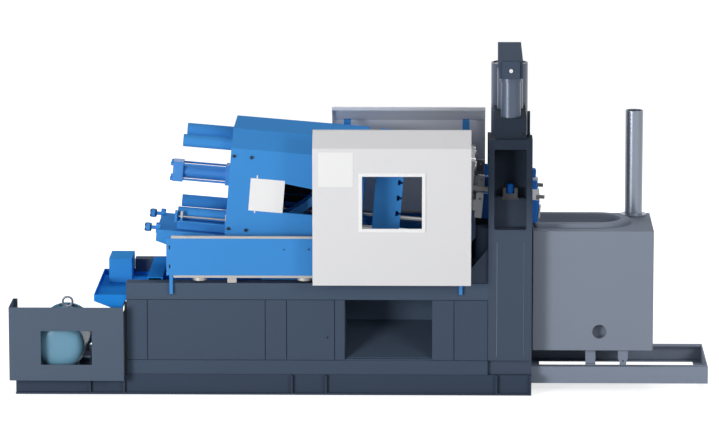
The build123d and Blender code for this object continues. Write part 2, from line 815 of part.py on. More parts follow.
def end_flange(side):
    y = side * FLANGE_Y
    hook_left = bed_left - FLANGE_HOOK
    tip = hook_left - FLANGE_NECK
    axis_w = BED_TOP + FLANGE_UP
    stand = block(hook_left, hook_left + FLANGE_FOOT, y - FLANGE_R, y + FLANGE_R, BED_TOP, axis_w + FLANGE_R)
    stand += block(hook_left, bed_left, y - FLANGE_R, y + FLANGE_R, BED_TOP - FLANGE_R, BED_TOP)
    neck = round_x(tip, hook_left, y, axis_w, FLANGE_NECK_R)
    disc = round_x(tip + FLANGE_TIP, tip + FLANGE_TIP + FLANGE_THICK, y, axis_w, FLANGE_R)
    return stand + neck + disc


nodes["end_flanges"] = tilted(sides(end_flange))

# Tail platen with the rear pivot ears, and the clamp cylinder through its middle.

HOOD_SLANT = 0.42
tail_half = HOOD_HALF - HOOD_SHEET
tail_top = HOOD_TOP - HOOD_SHEET
tail_top_half = HOOD_TOP_HALF - HOOD_SHEET * HOOD_SLANT
tail_bend = HOOD_BEND - HOOD_SHEET * HOOD_SLANT
tail_points = [
    (-tail_half, BED_TOP + TAIL_SEAT),
    (-BED_HALF, BED_TOP),
    (BED_HALF, BED_TOP),
    (tail_half, BED_TOP + TAIL_SEAT),
    (tail_half, tail_bend),
    (tail_top_half, tail_top),
    (-tail_top_half, tail_top),
    (-tail_half, tail_bend),
]
tail = prism_x(tail_points, tail_left, tail_right)
tail -= four_bars(tail_left - 1, tail_right + 1, BAR_R)
tail -= round_x(tail_left - 1, tail_right + 1, 0, 0, CYL_R)


def ear(u, w, face_u, inner, outer):
    """A pair of ears with a round end at (u, w), standing on the face at face_u."""
    made = None
    for side in (-1, 1):
        low, high = span(side, inner, outer)
        plate = round_y(low, high, u, w, EYE_OUT_R)
        plate += block(min(u, face_u), max(u, face_u), low, high, w - EYE_OUT_R, w + EYE_OUT_R)
        made = plate if made is None else made + plate
    return made - round_y(-outer - 1, outer + 1, u, w, PIN_R + RUN_GAP)


rear_pivot_u = tail_right + PIVOT_REAR
front_pivot_u = PLATEN_LEFT - PIVOT_FRONT
rear_out = REAR_IN + LINK_THICK
front_in = rear_out + LINK_GAP
front_out = front_in + LINK_THICK
tail_ear_out = REAR_IN - LINK_GAP
for w in (-PIVOT_W, PIVOT_W):
    tail += ear(rear_pivot_u, w, tail_right - 1, tail_ear_out - LINK_THICK, tail_ear_out)
nodes["tail_platen"] = tilted(tail)

cyl_left = HOOD_LEFT - CYL_LONG
gland = tail_right - CYL_NOSE
cap = block(cyl_left, cyl_left + CYL_CAP, -CYL_CAP_HALF, CYL_CAP_HALF, -CYL_CAP_HALF, CYL_CAP_HALF)
nose = block(tail_left - CYL_NOSE, tail_left, -CYL_CAP_HALF, CYL_CAP_HALF, -CYL_CAP_HALF, CYL_CAP_HALF)
clamp = fillet(cap.edges().filter_by(Axis.X), CYL_CAP_ROUND)
clamp += fillet(nose.edges().filter_by(Axis.X), CYL_CAP_ROUND)
clamp += round_x(cyl_left + CYL_CAP / 2, tail_right, 0, 0, CYL_R)
clamp -= round_x(cyl_left + CYL_CAP * 0.65, tail_right + 1, 0, 0, CYL_BORE_R)
clamp += round_x(gland, tail_right, 0, 0, CYL_BORE_R)
clamp -= round_x(gland - 1, tail_right + 1, 0, 0, ROD_R + RUN_GAP)
for y in (-CYL_TIE, CYL_TIE):
    for w in (-CYL_TIE, CYL_TIE):
        clamp += round_x(cyl_left - CYL_TIE_OUT, tail_left, y, w, CYL_TIE_R)
nodes["clamp_cylinder"] = tilted(clamp)

piston_left = cyl_left + PISTON_AT
head_left = tail_right + ROD_OUT
rod = round_x(piston_left, head_left, 0, 0, ROD_R)
rod += round_x(piston_left, piston_left + PISTON_LENGTH, 0, 0, CYL_BORE_R - PISTON_PLAY)
nodes["clamp_rod"] = tilted(rod)
head = block(head_left, head_left + HEAD_LENGTH, -HEAD_HALF, HEAD_HALF, -HEAD_HALF, HEAD_HALF)
nodes["crosshead"] = tilted(fillet(head.edges().filter_by(Axis.Y), HEAD_ROUND))

bars = four_bars(sleeve_left + BAR_IN, fixed_right + BAR_OUT, BAR_R)
nut_left = fixed_right - NUT_SINK
nuts = four_bars(nut_left, nut_left + NUT_LENGTH, NUT_R)
nodes["tie_bars"] = tilted(bars + nuts)
sleeves = four_bars(sleeve_left, tail_left, SLEEVE_R)
sleeves -= four_bars(sleeve_left + SLEEVE_WALL, tail_left + 1, SLEEVE_R - SLEEVE_WALL)
nodes["tie_bar_sleeves"] = tilted(sleeves)

# Hood: one bent sheet over the toggle, with a lipped slot in each side.

hood_low = BED_TOP + HOOD_LOW_GAP


def hood_outline(inset):
    half = HOOD_HALF - inset
    flat = HOOD_TOP_HALF - inset * HOOD_SLANT
    bend = HOOD_BEND - inset * HOOD_SLANT
    low = hood_low - (1 if inset else 0)
    return [
        (-half, low),
        (half, low),
        (half, bend),
        (flat, HOOD_TOP - inset),
        (-flat, HOOD_TOP - inset),
        (-half, bend),
    ]


def drawn_y(flat, y0, y1):
    """A sketch in X and Z, drawn out from y0 to y1."""
    return Pos(0, y1, 0) * Rot(90, 0, 0) * extrude(flat, amount=y1 - y0, dir=(0, 0, 1))


slot_points = [
    (SLOT_LEFT, SLOT_LOW),
    (SLOT_RIGHT, SLOT_LOW),
    (SLOT_RIGHT, SLOT_HIGH - SLOT_FALL),
    (SLOT_LEFT, SLOT_HIGH),
]
slot_flat = Polygon(*slot_points, align=None)
slot_flat = fillet(slot_flat.vertices(), SLOT_CORNER)
slot_grown = fillet(Polygon(*slot_points, align=None).vertices(), SLOT_CORNER)
slot_grown = offset(slot_grown, SLOT_RIM)
hood = prism_x(hood_outline(0), HOOD_LEFT, HOOD_RIGHT)
hood -= prism_x(hood_outline(HOOD_SHEET), HOOD_LEFT - 1, HOOD_RIGHT + 1)
hood += sides(lambda side: drawn_y(slot_grown, *span(side, HOOD_HALF - SLOT_LIP, HOOD_HALF)))
hood -= drawn_y(slot_flat, -HOOD_HALF - 1, HOOD_HALF + 1)
nodes["clamp_hood"] = tilted(hood)
hood_plate = block(PLATE_LEFT, PLATE_LEFT + PLATE_WIDTH, -HOOD_HALF - PLATE_THICK, -HOOD_HALF,
                   PLATE_LOW, PLATE_LOW + PLATE_HEIGHT)
nodes["hood_plate"] = tilted(hood_plate)

# Toggle: four waisted links, the rear pair between the front pair's cheeks at the knee.


def toggle_link(a, b, inner, outer, web_at):
    """Two cheeks from pivot a to pivot b, waisted between their eyes, with one round web."""
    made = None
    du = b[0] - a[0]
    dw = b[1] - a[1]
    reach = (du * du + dw * dw) ** 0.5
    nu = -dw / reach
    nw = du / reach
    wide = EYE_OUT_R * LINK_EYE_SHARE
    middle = ((a[0] + b[0]) / 2, (a[1] + b[1]) / 2)
    outline = [
        (a[0] + nu * wide, a[1] + nw * wide),
        (middle[0] + nu * LINK_WAIST, middle[1] + nw * LINK_WAIST),
        (b[0] + nu * wide, b[1] + nw * wide),
        (b[0] - nu * wide, b[1] - nw * wide),
        (middle[0] - nu * LINK_WAIST, middle[1] - nw * LINK_WAIST),
        (a[0] - nu * wide, a[1] - nw * wide),
    ]
    for side in (-1, 1):
        low, high = span(side, inner, outer)
        cheek = prism_y(outline, low, high)
        cheek += round_y(low, high, a[0], a[1], EYE_OUT_R)
        cheek += round_y(low, high, b[0], b[1], EYE_OUT_R)
        made = cheek if made is None else made + cheek
    return made + round_y(-outer, outer, a[0] + du * web_at, a[1] + dw * web_at, LINK_WEB_R)


for name, sign in (("upper", 1), ("lower", -1)):
    rear_pivot = (rear_pivot_u, sign * PIVOT_W)
    front_pivot = (front_pivot_u, sign * PIVOT_W)
    knee = ((rear_pivot_u + front_pivot_u) / 2, sign * KNEE_W)
    rear_link = toggle_link(rear_pivot, knee, REAR_IN, rear_out, 0.5)
    rear_link += round_y(-rear_out, rear_out, rear_pivot[0], rear_pivot[1], PIN_R)
    front_link = toggle_link(front_pivot, knee, front_in, front_out, 0.4)
    front_link += round_y(-front_out, front_out, front_pivot[0], front_pivot[1], PIN_R)
    nodes["rear_link_" + name] = tilted(rear_link)
    nodes["front_link_" + name] = tilted(front_link)

# Platens, both with T-slots in the face that takes the die.

platen_right = PLATEN_LEFT + PLATEN_THICK
platen = block(PLATEN_LEFT, platen_right, -PLATEN_HALF, PLATEN_HALF, BED_TOP + PLATEN_GAP, PLATEN_HIGH)
platen = fillet(platen.edges().filter_by(Axis.X), PLATEN_ROUND)


def t_slot(face, into, w):
    deep = face + into * TSLOT_DEPTH
    lip = face + into * TSLOT_LIP
    across = PLATEN_HALF + 1
    neck = block(min(face, deep), max(face, deep), -across, across, w - TSLOT_NECK / 2, w + TSLOT_NECK / 2)
    wide = block(min(lip, deep), max(lip, deep), -across, across, w - TSLOT_HEAD / 2, w + TSLOT_HEAD / 2)
    return neck + wide


for step in (-1, 0, 1):
    platen -= t_slot(platen_right, -1, step * TSLOT_PITCH)
platen -= four_bars(PLATEN_LEFT - 1, platen_right + 1, BAR_R + RUN_GAP)
for w in (-PIVOT_W, PIVOT_W):
    platen += ear(front_pivot_u, w, PLATEN_LEFT + 1, REAR_IN, rear_out)
nodes["moving_platen"] = tilted(platen)

fixed = block(fixed_left, fixed_right, -PLATEN_HALF, PLATEN_HALF, BED_TOP, FIXED_TOP)
fixed = fillet(fixed.edges().filter_by(Axis.X), PLATEN_ROUND)
for step in (-1, 0, 1):
    fixed -= t_slot(fixed_left, 1, step * TSLOT_PITCH)
fixed -= four_bars(fixed_left - 1, fixed_right + 1, BAR_R)
fixed -= four_bars(nut_left, fixed_right + 1, NUT_R)
fixed -= round_x(fixed_left - 1, fixed_right + 1, 0, 0, SPRUE_R)


def grip(side):
    """Two upright lugs standing off the fixed platen on a neck, with the guide bar between them."""
    y0, y1 = span(side, GRIP_NEAR, GRIP_NEAR + GRIP_DEEP)
    left = fixed_right + GRIP_GAP
    right = left + GRIP_WIDTH
    made = block(left, right, y0, y1, GRIP_LOW, GRIP_SPLIT_LOW)
    made += block(left, right, y0, y1, GRIP_SPLIT_HIGH, GRIP_HIGH)
    for w in (GRIP_HOLE_LOW, GRIP_HOLE_HIGH):
        made -= round_y(y0 - 1, y1 + 1, right - GRIP_HOLE_IN, w, GRIP_HOLE_R)
    made += block(fixed_right, left, y0, y1, NECK_LOW, NECK_HIGH)
    made += block(fixed_right, fixed_right + GUIDE_LENGTH, y0, y1, GUIDE_LOW, GRIP_SPLIT_HIGH)
    return made


nodes["fixed_platen"] = tilted(fixed + sides(grip))

# Tower: a hollow column on each side, open outward over a casting shoulder, under one head.

tower_foot = BASE_HALF - TOWER_SILL_BACK
post_left = base_right + TOWER_POST
post_right = SKID_RIGHT - TOWER_POST
shoulder_half = BASE_HALF - SHOULDER_BACK
pocket_in = TOWER_IN + TOWER_WALL
shoulder_top = tower_waist + SHOULDER_UP
tower = block(base_right, SKID_RIGHT, -BASE_HALF, BASE_HALF, sill_top, tower_waist)
tower += block(base_right, SKID_RIGHT, -tower_foot, tower_foot, SKID_HEIGHT, sill_top)


def tower_column(side):
    top = tower_top if side < 0 else rear_top
    column = block(base_right, SKID_RIGHT, *span(side, TOWER_IN, BASE_HALF), tower_waist, top)
    pocket = block(post_left, post_right, *span(side, pocket_in, BASE_HALF + 1),
                   tower_waist, top - TOWER_HEAD)
    return column - fillet(pocket.edges().filter_by(Axis.Y), POCKET_ROUND)


def shoulder(side):
    """The casting shoulder that fills the foot of a column's pocket, with a round front edge."""
    points = [
        (post_left - 1, tower_waist - 1),
        (post_right + 1, tower_waist - 1),
        (post_right + 1, shoulder_top - SHOULDER_FALL),
        (post_left - 1, shoulder_top),
    ]
    filled = prism_y(points, *span(side, pocket_in - 1, shoulder_half))
    rim = filled.faces().sort_by(Axis.Z)[-1].edges().sort_by(Axis.Y)
    return fillet(rim[0] if side < 0 else rim[-1], SHOULDER_ROUND)


def saddle(side):
    """Forked rest on the shoulder that holds a standing pin in its slot."""
    y0, y1 = span(side, pocket_in, pocket_in + SADDLE_DEEP)
    low = shoulder_top - SHOULDER_FALL
    high = low + SADDLE_HIGH
    slot_low = low + SADDLE_BASE
    half = SADDLE_PIN_R + SADDLE_PLAY
    y = (y0 + y1) / 2
    made = block(tower_x - SADDLE_WIDTH / 2, tower_x + SADDLE_WIDTH / 2, y0, y1, low, high)
    made -= block(tower_x - half, tower_x + half, y0 - 1, y1 + 1, slot_low, high + 1)
    return made + round_z(slot_low, high + SADDLE_PIN_UP, tower_x, y, SADDLE_PIN_R)


def pillar(side):
    """Half-round pillar on the left face, from the base to the waist."""
    y = side * (BASE_HALF - PILLAR_IN)
    whole = round_z(BASE_TOP, tower_waist, base_right, y, PILLAR_R)
    return whole - block(base_right, base_right + PILLAR_R, y - PILLAR_R, y + PILLAR_R, BASE_TOP, tower_waist)


gusset_points = [
    (base_right, BASE_TOP),
    (base_right, BASE_TOP + GUSSET_HEIGHT),
    (base_right - GUSSET_LENGTH, BASE_TOP),
]
gusset_out = BASE_HALF - POST_IN - POST_THICK
tower += sides(tower_column)
tower += sides(shoulder)
tower += sides(saddle)
tower += sides(pillar)
tower += sides(lambda side: prism_y(gusset_points, *span(side, gusset_out - GUSSET_THICK, gusset_out)))
block_top = tower_top + BLOCK_HIGH
block_left = tower_x - BLOCK_WIDTH / 2
block_right = tower_x + BLOCK_WIDTH / 2
head_block = block(block_left, block_right, -BASE_HALF + BLOCK_FRONT_IN, BLOCK_BACK, tower_top, block_top)
tower += fillet(head_block.edges().filter_by(Axis.Z), BLOCK_ROUND)
tower += block(block_left, block_right, -TOWER_IN - 1, BLOCK_BACK, rear_top - BRIDGE_DEEP, tower_top)
tower += block(block_left, block_right, BLOCK_BACK, TOWER_IN + 1, rear_top - BRIDGE_DEEP, rear_top)
tower += round_z(tower_top, tower_top + PIPE_HIGH, SKID_RIGHT - PIPE_IN, -BASE_HALF + PIPE_BACK, PIPE_R)
nodes["tower"] = tower

# Head: lift and shot cylinders, the open tube behind them and the beam over all three.

head_low = tower_top + BEAM_UP
beam_top = head_low + BEAM_HIGH
beam_half = BASE_HALF - BEAM_IN
lift_y = -beam_half + LIFT_IN
cylinders = round_z(block_top, head_low, tower_x, lift_y, LIFT_R)
cylinders += round_z(head_low - LIFT_RING, head_low, tower_x, lift_y, LIFT_RING_R)
cylinders += round_z(block_top, head_low, tower_x, 0, SHOT_R)
nodes["head_cylinders"] = cylinders
tube_y = BLOCK_BACK + TUBE_GAP + TUBE_R
tube = round_z(rear_top, head_low, tower_x, tube_y, TUBE_R)
tube -= round_z(rear_top + TUBE_FLOOR, head_low + 1, tower_x, tube_y, TUBE_R - TUBE_WALL)
nodes["accumulator_tube"] = tube
beam = block(tower_x - BEAM_WIDTH / 2, tower_x + BEAM_WIDTH / 2, -beam_half, tube_y + TUBE_R,
             head_low, beam_top)
beam += block(tower_x - HUB_WIDTH / 2, tower_x + HUB_WIDTH / 2, -beam_half - HUB_OUT, -beam_half,
              head_low, beam_top - HUB_DROP)
beam += round_y(-beam_half - HUB_OUT - HUB_PIN_OUT, -beam_half - HUB_OUT, tower_x,
                head_low + HUB_PIN_UP, HUB_PIN_R)
nodes["head_beam"] = beam

# Nozzle side: a forked casting on each column's inner face, with the holder and stud in its mouth.


def mount_half(side):
    y0, y1 = span(side, TOWER_IN - MOUNT_THICK, TOWER_IN)
    y = (y0 + y1) / 2
    upper = block(mount_left, mount_right, y0, y1, CHANNEL_HIGH, MOUNT_HIGH)
    lower = block(mount_left, toe_right, y0, y1, MOUNT_LOW, CHANNEL_LOW)
    made = None
    for jaw in (upper, lower):
        end = jaw.faces().sort_by(Axis.X)[-1]
        jaw = fillet(end.edges(), MOUNT_ROUND)
        made = jaw if made is None else made + jaw
    made += block(mount_left + MOUNT_BRIDGE, mount_left + MOUNT_BRIDGE * 2, y0, y1, CHANNEL_LOW, CHANNEL_HIGH)
    made += block(mount_right - HOLDER_WIDTH, mount_right + MOUNT_ROUND, y0, y1, HOLDER_LOW, HOLDER_HIGH)
    made += round_x(mount_right, mount_right + MOUNT_ROUND + STUD_LONG, y, STUD_W, STUD_R)
    return made + block(toe_right, toe_right + TIP_THICK, y0, y1, TIP_LOW, TIP_HIGH)


nodes["nozzle_mount"] = tilted(sides(mount_half))

# Furnace on shoes, its bath with the rim, the flue and the rail frame it rolls out on.

furnace_left = SKID_RIGHT + FURNACE_GAP
furnace_right = furnace_left + FURNACE_LONG
rail_top = RAIL_LOW + RAIL_BEAM
furnace_low = rail_top + FURNACE_LEG
bath_left = furnace_left + BATH_IN
bath_turn = bath_left + BATH_LONG - BATH_HALF
furnace = block(furnace_left, furnace_right, -FURNACE_HALF, FURNACE_HALF, furnace_low, furnace_high)
furnace = fillet(furnace.edges().filter_by(Axis.Z), FURNACE_ROUND)


def bath_form(end, grow, z0, z1):
    """Straight at the tower, half round at the far end, wider than the bath by grow."""
    half = BATH_HALF + grow
    form = block(bath_left - end, bath_turn, -half, half, z0, z1)
    form = fillet(form.edges().filter_by(Axis.Z).group_by(Axis.X)[0], BATH_ROUND)
    return form + round_z(z0, z1, bath_turn, 0, half)


furnace -= bath_form(0, 0, furnace_high - BATH_DEPTH, furnace_high + 1)
furnace -= round_y(-FURNACE_HALF - 1, -FURNACE_HALF + PORT_DEEP, furnace_right - PORT_IN,
                   furnace_low + PORT_UP, PORT_R)
nodes["furnace_shell"] = furnace
rim_top = furnace_high + RIM_HIGH
rim = bath_form(RIM_END, RIM_WIDTH, furnace_high, rim_top)
rim = fillet(rim.faces().sort_by(Axis.Z)[-1].edges(), RIM_ROUND)
nodes["furnace_rim"] = rim - bath_form(0, 0, furnace_high - 1, rim_top + 1)
flue_x = furnace_right - FLUE_IN_X
flue_y = FURNACE_HALF - FLUE_IN_Y
flue_top = furnace_high + FLUE_HEIGHT
flue = round_z(furnace_high, flue_top, flue_x, flue_y, FLUE_R)
flue += round_z(furnace_high, furnace_high + FLUE_RING, flue_x, flue_y, FLUE_RING_R)
flue -= round_z(furnace_high + FLUE_FLOOR, flue_top + 1, flue_x, flue_y, FLUE_R - FLUE_WALL)
nodes["flue"] = flue

rail_half = FURNACE_HALF + RAIL_OUT
rail_inner = rail_half - RAIL_FLANGE


def rail(side):
    made = block(SKID_RIGHT, rail_end, *span(side, rail_half - RAIL_WALL, rail_half), RAIL_LOW, rail_top)
    made += block(SKID_RIGHT, rail_end, *span(side, rail_inner, rail_half), RAIL_LOW, RAIL_LOW + RAIL_WALL)
    return made + block(SKID_RIGHT, rail_end, *span(side, rail_inner, rail_half),
                        rail_top - RAIL_WALL, rail_top)


rails = sides(rail)
for end, into in ((rail_end, -1), (SKID_RIGHT, 1)):
    for reach, high in ((RAIL_WALL, rail_top), (RAIL_FLANGE, RAIL_LOW + RAIL_WALL)):
        rails += block(min(end, end + into * reach), max(end, end + into * reach), -rail_half, rail_half,
                       RAIL_LOW, high)
nodes["furnace_rails"] = rails

shoe_top = rail_top + SHOE_THICK
tongue_x = furnace_right - LUG_IN_X
tongue_out = FURNACE_HALF - LUG_IN_Y
leg_out = rail_inner - LEG_PLATE_PLAY
leg_left = tongue_x - LEG_BACK
tongue_points = [
    (tongue_x - LUG_TOP_WIDTH / 2, furnace_low),
    (tongue_x + LUG_TOP_WIDTH / 2, furnace_low),
    (tongue_x + LUG_TOP_WIDTH / 2, furnace_low - LUG_STRAIGHT),
    (tongue_x + LUG_LOW_WIDTH / 2, shoe_top - 1),
    (tongue_x - LUG_LOW_WIDTH / 2, shoe_top - 1),
    (tongue_x - LUG_TOP_WIDTH / 2, furnace_low - LUG_STRAIGHT),
]


def foot_pair(side):
    """A tongue on its shoe at the back and a leg down inside the rail at the front."""
    made = prism_y(tongue_points, *span(side, tongue_out - LUG_THICK, tongue_out))
    made -= round_y(*span(side, tongue_out - LUG_THICK - 1, tongue_out + 1), tongue_x,
                    shoe_top + LUG_HOLE_UP, LUG_HOLE_R)
    made += block(tongue_x - SHOE_HALF, tongue_x + SHOE_HALF,
                  *span(side, tongue_out - LUG_THICK, tongue_out + SHOE_EDGE), rail_top + SHOE_PLAY, shoe_top)
    made += block(leg_left, leg_left + LEG_PLATE_WIDTH, *span(side, leg_out - LUG_THICK, leg_out),
                  LEG_PLATE_LOW, furnace_low)
    return made + block(leg_left, leg_left + LEG_PLATE_WIDTH, *span(side, leg_out - LUG_THICK, tongue_out),
                        rail_top + SHOE_PLAY, shoe_top)


nodes["furnace_feet"] = sides(foot_pair)

# Sheet panels that carry the door rails, on legs and posts over the base beams.

panel_left = BASE_LEFT + PANEL_IN_LEFT
panel_right = base_right - PANEL_IN_RIGHT
panel_low = BASE_TOP + PANEL_UP
panel_high = panel_low + PANEL_HEIGHT
roller_z = panel_high + RAIL_HIGH + ROLLER_R + ROLLER_GAP


def rail_panel(side):
    face = span(side, panel_y - PANEL_SHEET, panel_y)
    deep = span(side, panel_y - RAIL_DEEP, panel_y)
    foot = span(side, BASE_HALF, panel_y)
    slit_y = span(side, panel_y - RAIL_DEEP, panel_y + 1)
    sheet = block(panel_left, panel_right, *face, panel_low, panel_high)
    for left in (panel_left, panel_right - PANEL_SHEET):
        sheet += block(left, left + PANEL_SHEET, *deep, panel_low, panel_high)
    for left in (panel_left + LEG_LEFT_IN, panel_right - LEG_RIGHT_IN):
        sheet += block(left, left + LEG_WIDTH, *foot, BASE_TOP - LEG_DOWN, panel_low + LEG_LAP)
    for x in (panel_left + SLIT_IN, panel_right - SLIT_IN):
        for z in (panel_low + SLIT_UP, panel_high - SLIT_UP):
            sheet -= block(x - SLIT_WIDTH / 2, x + SLIT_WIDTH / 2, *slit_y,
                           z - SLIT_HEIGHT / 2, z + SLIT_HEIGHT / 2)
    upright = span(side, BASE_HALF - POST_IN - POST_THICK, BASE_HALF - POST_IN)
    arm = span(side, BASE_HALF - POST_IN, BASE_HALF + POST_ARM)
    brace = span(side, BASE_HALF - POST_IN, panel_y - PANEL_SHEET)
    for left in (POST_LEFT, POST_RIGHT):
        sheet += block(left, left + POST_WIDTH, *upright, BASE_TOP, POST_TOP)
        sheet += block(left, left + POST_WIDTH, *arm, POST_TOP - POST_THICK, POST_TOP)
        sheet += block(left, left + POST_WIDTH, *brace, panel_high - POST_THICK * 2, panel_high - POST_THICK)
    return sheet


nodes["rail_panels"] = sides(rail_panel)


def door_rail(side):
    y0, y1 = span(side, panel_y - RAIL_DEEP, panel_y)
    rails_here = block(panel_left + RAIL_TOP_IN, panel_right, y0, y1, panel_high, panel_high + RAIL_HIGH)
    rails_here += block(panel_left + RAIL_LOW_LEFT, panel_right - RAIL_LOW_RIGHT, y0, y1,
                        panel_low - RAIL_HIGH, panel_low)
    for x in (panel_left + PUCK_LEFT, panel_left + PUCK_LEFT + PUCK_PITCH):
        rails_here += round_z(panel_low - RAIL_HIGH - PUCK_HIGH, panel_low - RAIL_HIGH, x,
                              side * (panel_y - PUCK_IN + RAIL_DEEP), PUCK_R)
    stop = panel_left + STOP_LEFT
    stop_y = span(side, panel_y - RAIL_DEEP * 2, panel_y - RAIL_DEEP / 2)
    rails_here += block(stop, stop + STOP_WIDTH, *stop_y, panel_low - RAIL_HIGH - STOP_HIGH,
                        panel_low - RAIL_HIGH)
    return rails_here


nodes["door_rails"] = sides(door_rail)

# Sliding doors: bent sheet with folded rims, the front one with a framed sight opening.

door_right = base_right - DOOR_GAP
door_left = door_right - DOOR_WIDTH
door_bottom = BASE_TOP + DOOR_UP
door_bend = door_bottom + DOOR_WALL
door_top = door_bend + DOOR_LEAN
top_half = door_half - DOOR_LEAN
view_left = door_left + VIEW_IN
view_bottom = door_bottom + VIEW_UP
view_right = view_left + VIEW_WIDTH
view_top = view_bottom + VIEW_HEIGHT
fold_cut = DOOR_SHEET * tan(radians(22.5))


def sliding_door(side, shift):
    left = door_left + shift
    right = left + DOOR_WIDTH
    skin = [
        (side * door_half, door_bottom),
        (side * door_half, door_bend),
        (side * top_half, door_top),
        (side * (top_half - DOOR_RETURN), door_top),
        (side * (top_half - DOOR_RETURN), door_top - DOOR_LIP),
        (side * (top_half - DOOR_RETURN + DOOR_SHEET), door_top - DOOR_LIP),
        (side * (top_half - DOOR_RETURN + DOOR_SHEET), door_top - DOOR_SHEET),
        (side * (top_half - fold_cut), door_top - DOOR_SHEET),
        (side * (door_half - DOOR_SHEET), door_bend - fold_cut),
        (side * (door_half - DOOR_SHEET), door_bottom),
    ]
    rim = [
        (side * door_half, door_bottom),
        (side * door_half, door_bend),
        (side * top_half, door_top),
        (side * (top_half - DOOR_RETURN), door_top),
        (side * (top_half - DOOR_RETURN), door_top - DOOR_LIP),
        (side * (top_half - DOOR_FOLD), door_top - DOOR_LIP),
        (side * (door_half - DOOR_RETURN), door_bend - DOOR_FOLD),
        (side * (door_half - DOOR_RETURN), door_bottom),
    ]
    door = prism_x(skin, left, right)
    door += prism_x(rim, left, left + DOOR_SHEET)
    door += prism_x(rim, right - DOOR_SHEET, right)
    return door + block(left, right, *span(side, door_half - DOOR_RETURN, door_half),
                        door_bottom, door_bottom + DOOR_SHEET)


front_door = sliding_door(-1, 0)
front_door -= block(view_left, view_right, -door_half - 1, -door_half + DOOR_SHEET + 1, view_bottom, view_top)
nodes["front_door"] = front_door
nodes["rear_door"] = sliding_door(1, DOOR_SHIFT)
view = block(view_left - VIEW_FRAME, view_right + VIEW_FRAME, -door_half - VIEW_PROUD, -door_half,
             view_bottom - VIEW_FRAME, view_top + VIEW_FRAME)
view -= block(view_left, view_right, -door_half - VIEW_PROUD - 1, -door_half + 1, view_bottom, view_top)
nodes["window_frame"] = view


def door_rollers(side, shift):
    """Two carriages on the door's inside, each with a roller standing on the top rail."""
    left = door_left + shift
    wheel_y = span(side, panel_y - RAIL_DEEP, panel_y)
    axle_y = span(side, panel_y, door_half - DOOR_SHEET)
    carrier_y = span(side, door_half - DOOR_SHEET - CARRIER_THICK, door_half - DOOR_SHEET)
    made = None
    for x in (left + ROLLER_IN, left + DOOR_WIDTH - ROLLER_IN):
        wheel = round_y(*wheel_y, x, roller_z, ROLLER_R)
        wheel += round_y(*axle_y, x, roller_z, ROLLER_AXLE_R)
        wheel += block(x - CARRIER_HALF, x + CARRIER_HALF, *carrier_y, roller_z - CARRIER_HALF,
                       roller_z + CARRIER_HALF)
        made = wheel if made is None else made + wheel
    return made


nodes["front_door_rollers"] = door_rollers(-1, 0)
nodes["rear_door_rollers"] = door_rollers(1, DOOR_SHIFT)

# One file for each node.

os.makedirs("parts", exist_ok=True)
for name, shape in nodes.items():
    shape.label = name
    export_step(shape, "parts/" + name + ".step")
print(len(nodes), "nodes")
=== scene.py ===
# %% [markdown]
# The machine's steelwork is already built and measured in the frame that is loaded here.
# Blender only has to dress it: paint, bright metal, screws and small fittings, light and a camera.
# Everything is in metres, X along the machine, Y away from the operator and Z up.

# %% Load the frame
import math
import bmesh
import bpy
from mathutils import Matrix, Vector


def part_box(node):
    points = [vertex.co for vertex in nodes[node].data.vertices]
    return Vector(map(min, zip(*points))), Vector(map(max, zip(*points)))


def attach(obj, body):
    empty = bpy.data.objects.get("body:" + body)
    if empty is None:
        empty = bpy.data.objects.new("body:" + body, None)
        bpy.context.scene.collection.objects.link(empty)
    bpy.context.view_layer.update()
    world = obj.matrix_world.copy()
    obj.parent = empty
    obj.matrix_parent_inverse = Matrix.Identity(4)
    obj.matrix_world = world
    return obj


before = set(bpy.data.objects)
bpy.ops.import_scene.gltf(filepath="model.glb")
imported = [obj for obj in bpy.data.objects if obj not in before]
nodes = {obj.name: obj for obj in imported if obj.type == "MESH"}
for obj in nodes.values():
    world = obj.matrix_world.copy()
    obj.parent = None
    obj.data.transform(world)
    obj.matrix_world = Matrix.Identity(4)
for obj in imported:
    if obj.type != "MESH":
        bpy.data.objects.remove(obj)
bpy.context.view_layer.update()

# %% [markdown]
# The photograph was taken with a long lens, from far off and a little above, square to the long side.
# A camera is a place and a turn. The turn is written here as three angles: a hair to the left,
# ten degrees down, and almost no roll, which is how the level edges of the base lie in the picture.
# The focal length is in the picture's own pixels, so the film's width only scales it to millimetres.

# %% Camera
EYE = Vector((0.54949, -26.09734, 5.75137))
PICTURE_WIDE, FOCAL_LENGTH = 719, 4345.5
FILM_WIDE = 36.0
LOOK_LEFT, LOOK_DOWN, LEAN = math.radians(1.22), math.radians(10.296), math.radians(0.064)


def picture_camera():
    ahead = Vector((-math.sin(LOOK_LEFT) * math.cos(LOOK_DOWN),
                    math.cos(LOOK_LEFT) * math.cos(LOOK_DOWN), -math.sin(LOOK_DOWN)))
    right = Vector((math.cos(LOOK_LEFT), math.sin(LOOK_LEFT), 0))
    down = ahead.cross(right)
    side = right * math.cos(LEAN) + down * math.sin(LEAN)
    up = -(down * math.cos(LEAN) - right * math.sin(LEAN))
    turn = Matrix((side, up, -ahead)).transposed().to_4x4()
    lens = bpy.data.cameras.new("picture_lens")
    lens.sensor_width = FILM_WIDE
    lens.lens = FILM_WIDE * FOCAL_LENGTH / PICTURE_WIDE
    lens.clip_end = 200.0
    camera = bpy.data.objects.new("picture_camera", lens)
    camera.matrix_world = Matrix.Translation(EYE) @ turn
    bpy.context.scene.collection.objects.link(camera)
    bpy.context.scene.camera = camera
    return camera


camera = picture_camera()
print("camera at", tuple(round(v, 2) for v in camera.location), "lens", round(camera.data.lens, 1), "mm")

# %% [markdown]
# A product picture stands the machine on white. The floor is one big pale plane that still takes a soft
# shadow, and a little added light that the camera and mirrors see lifts it to white.
# The world does the same: it is white to the camera and in reflections, and dimmer as a lamp.

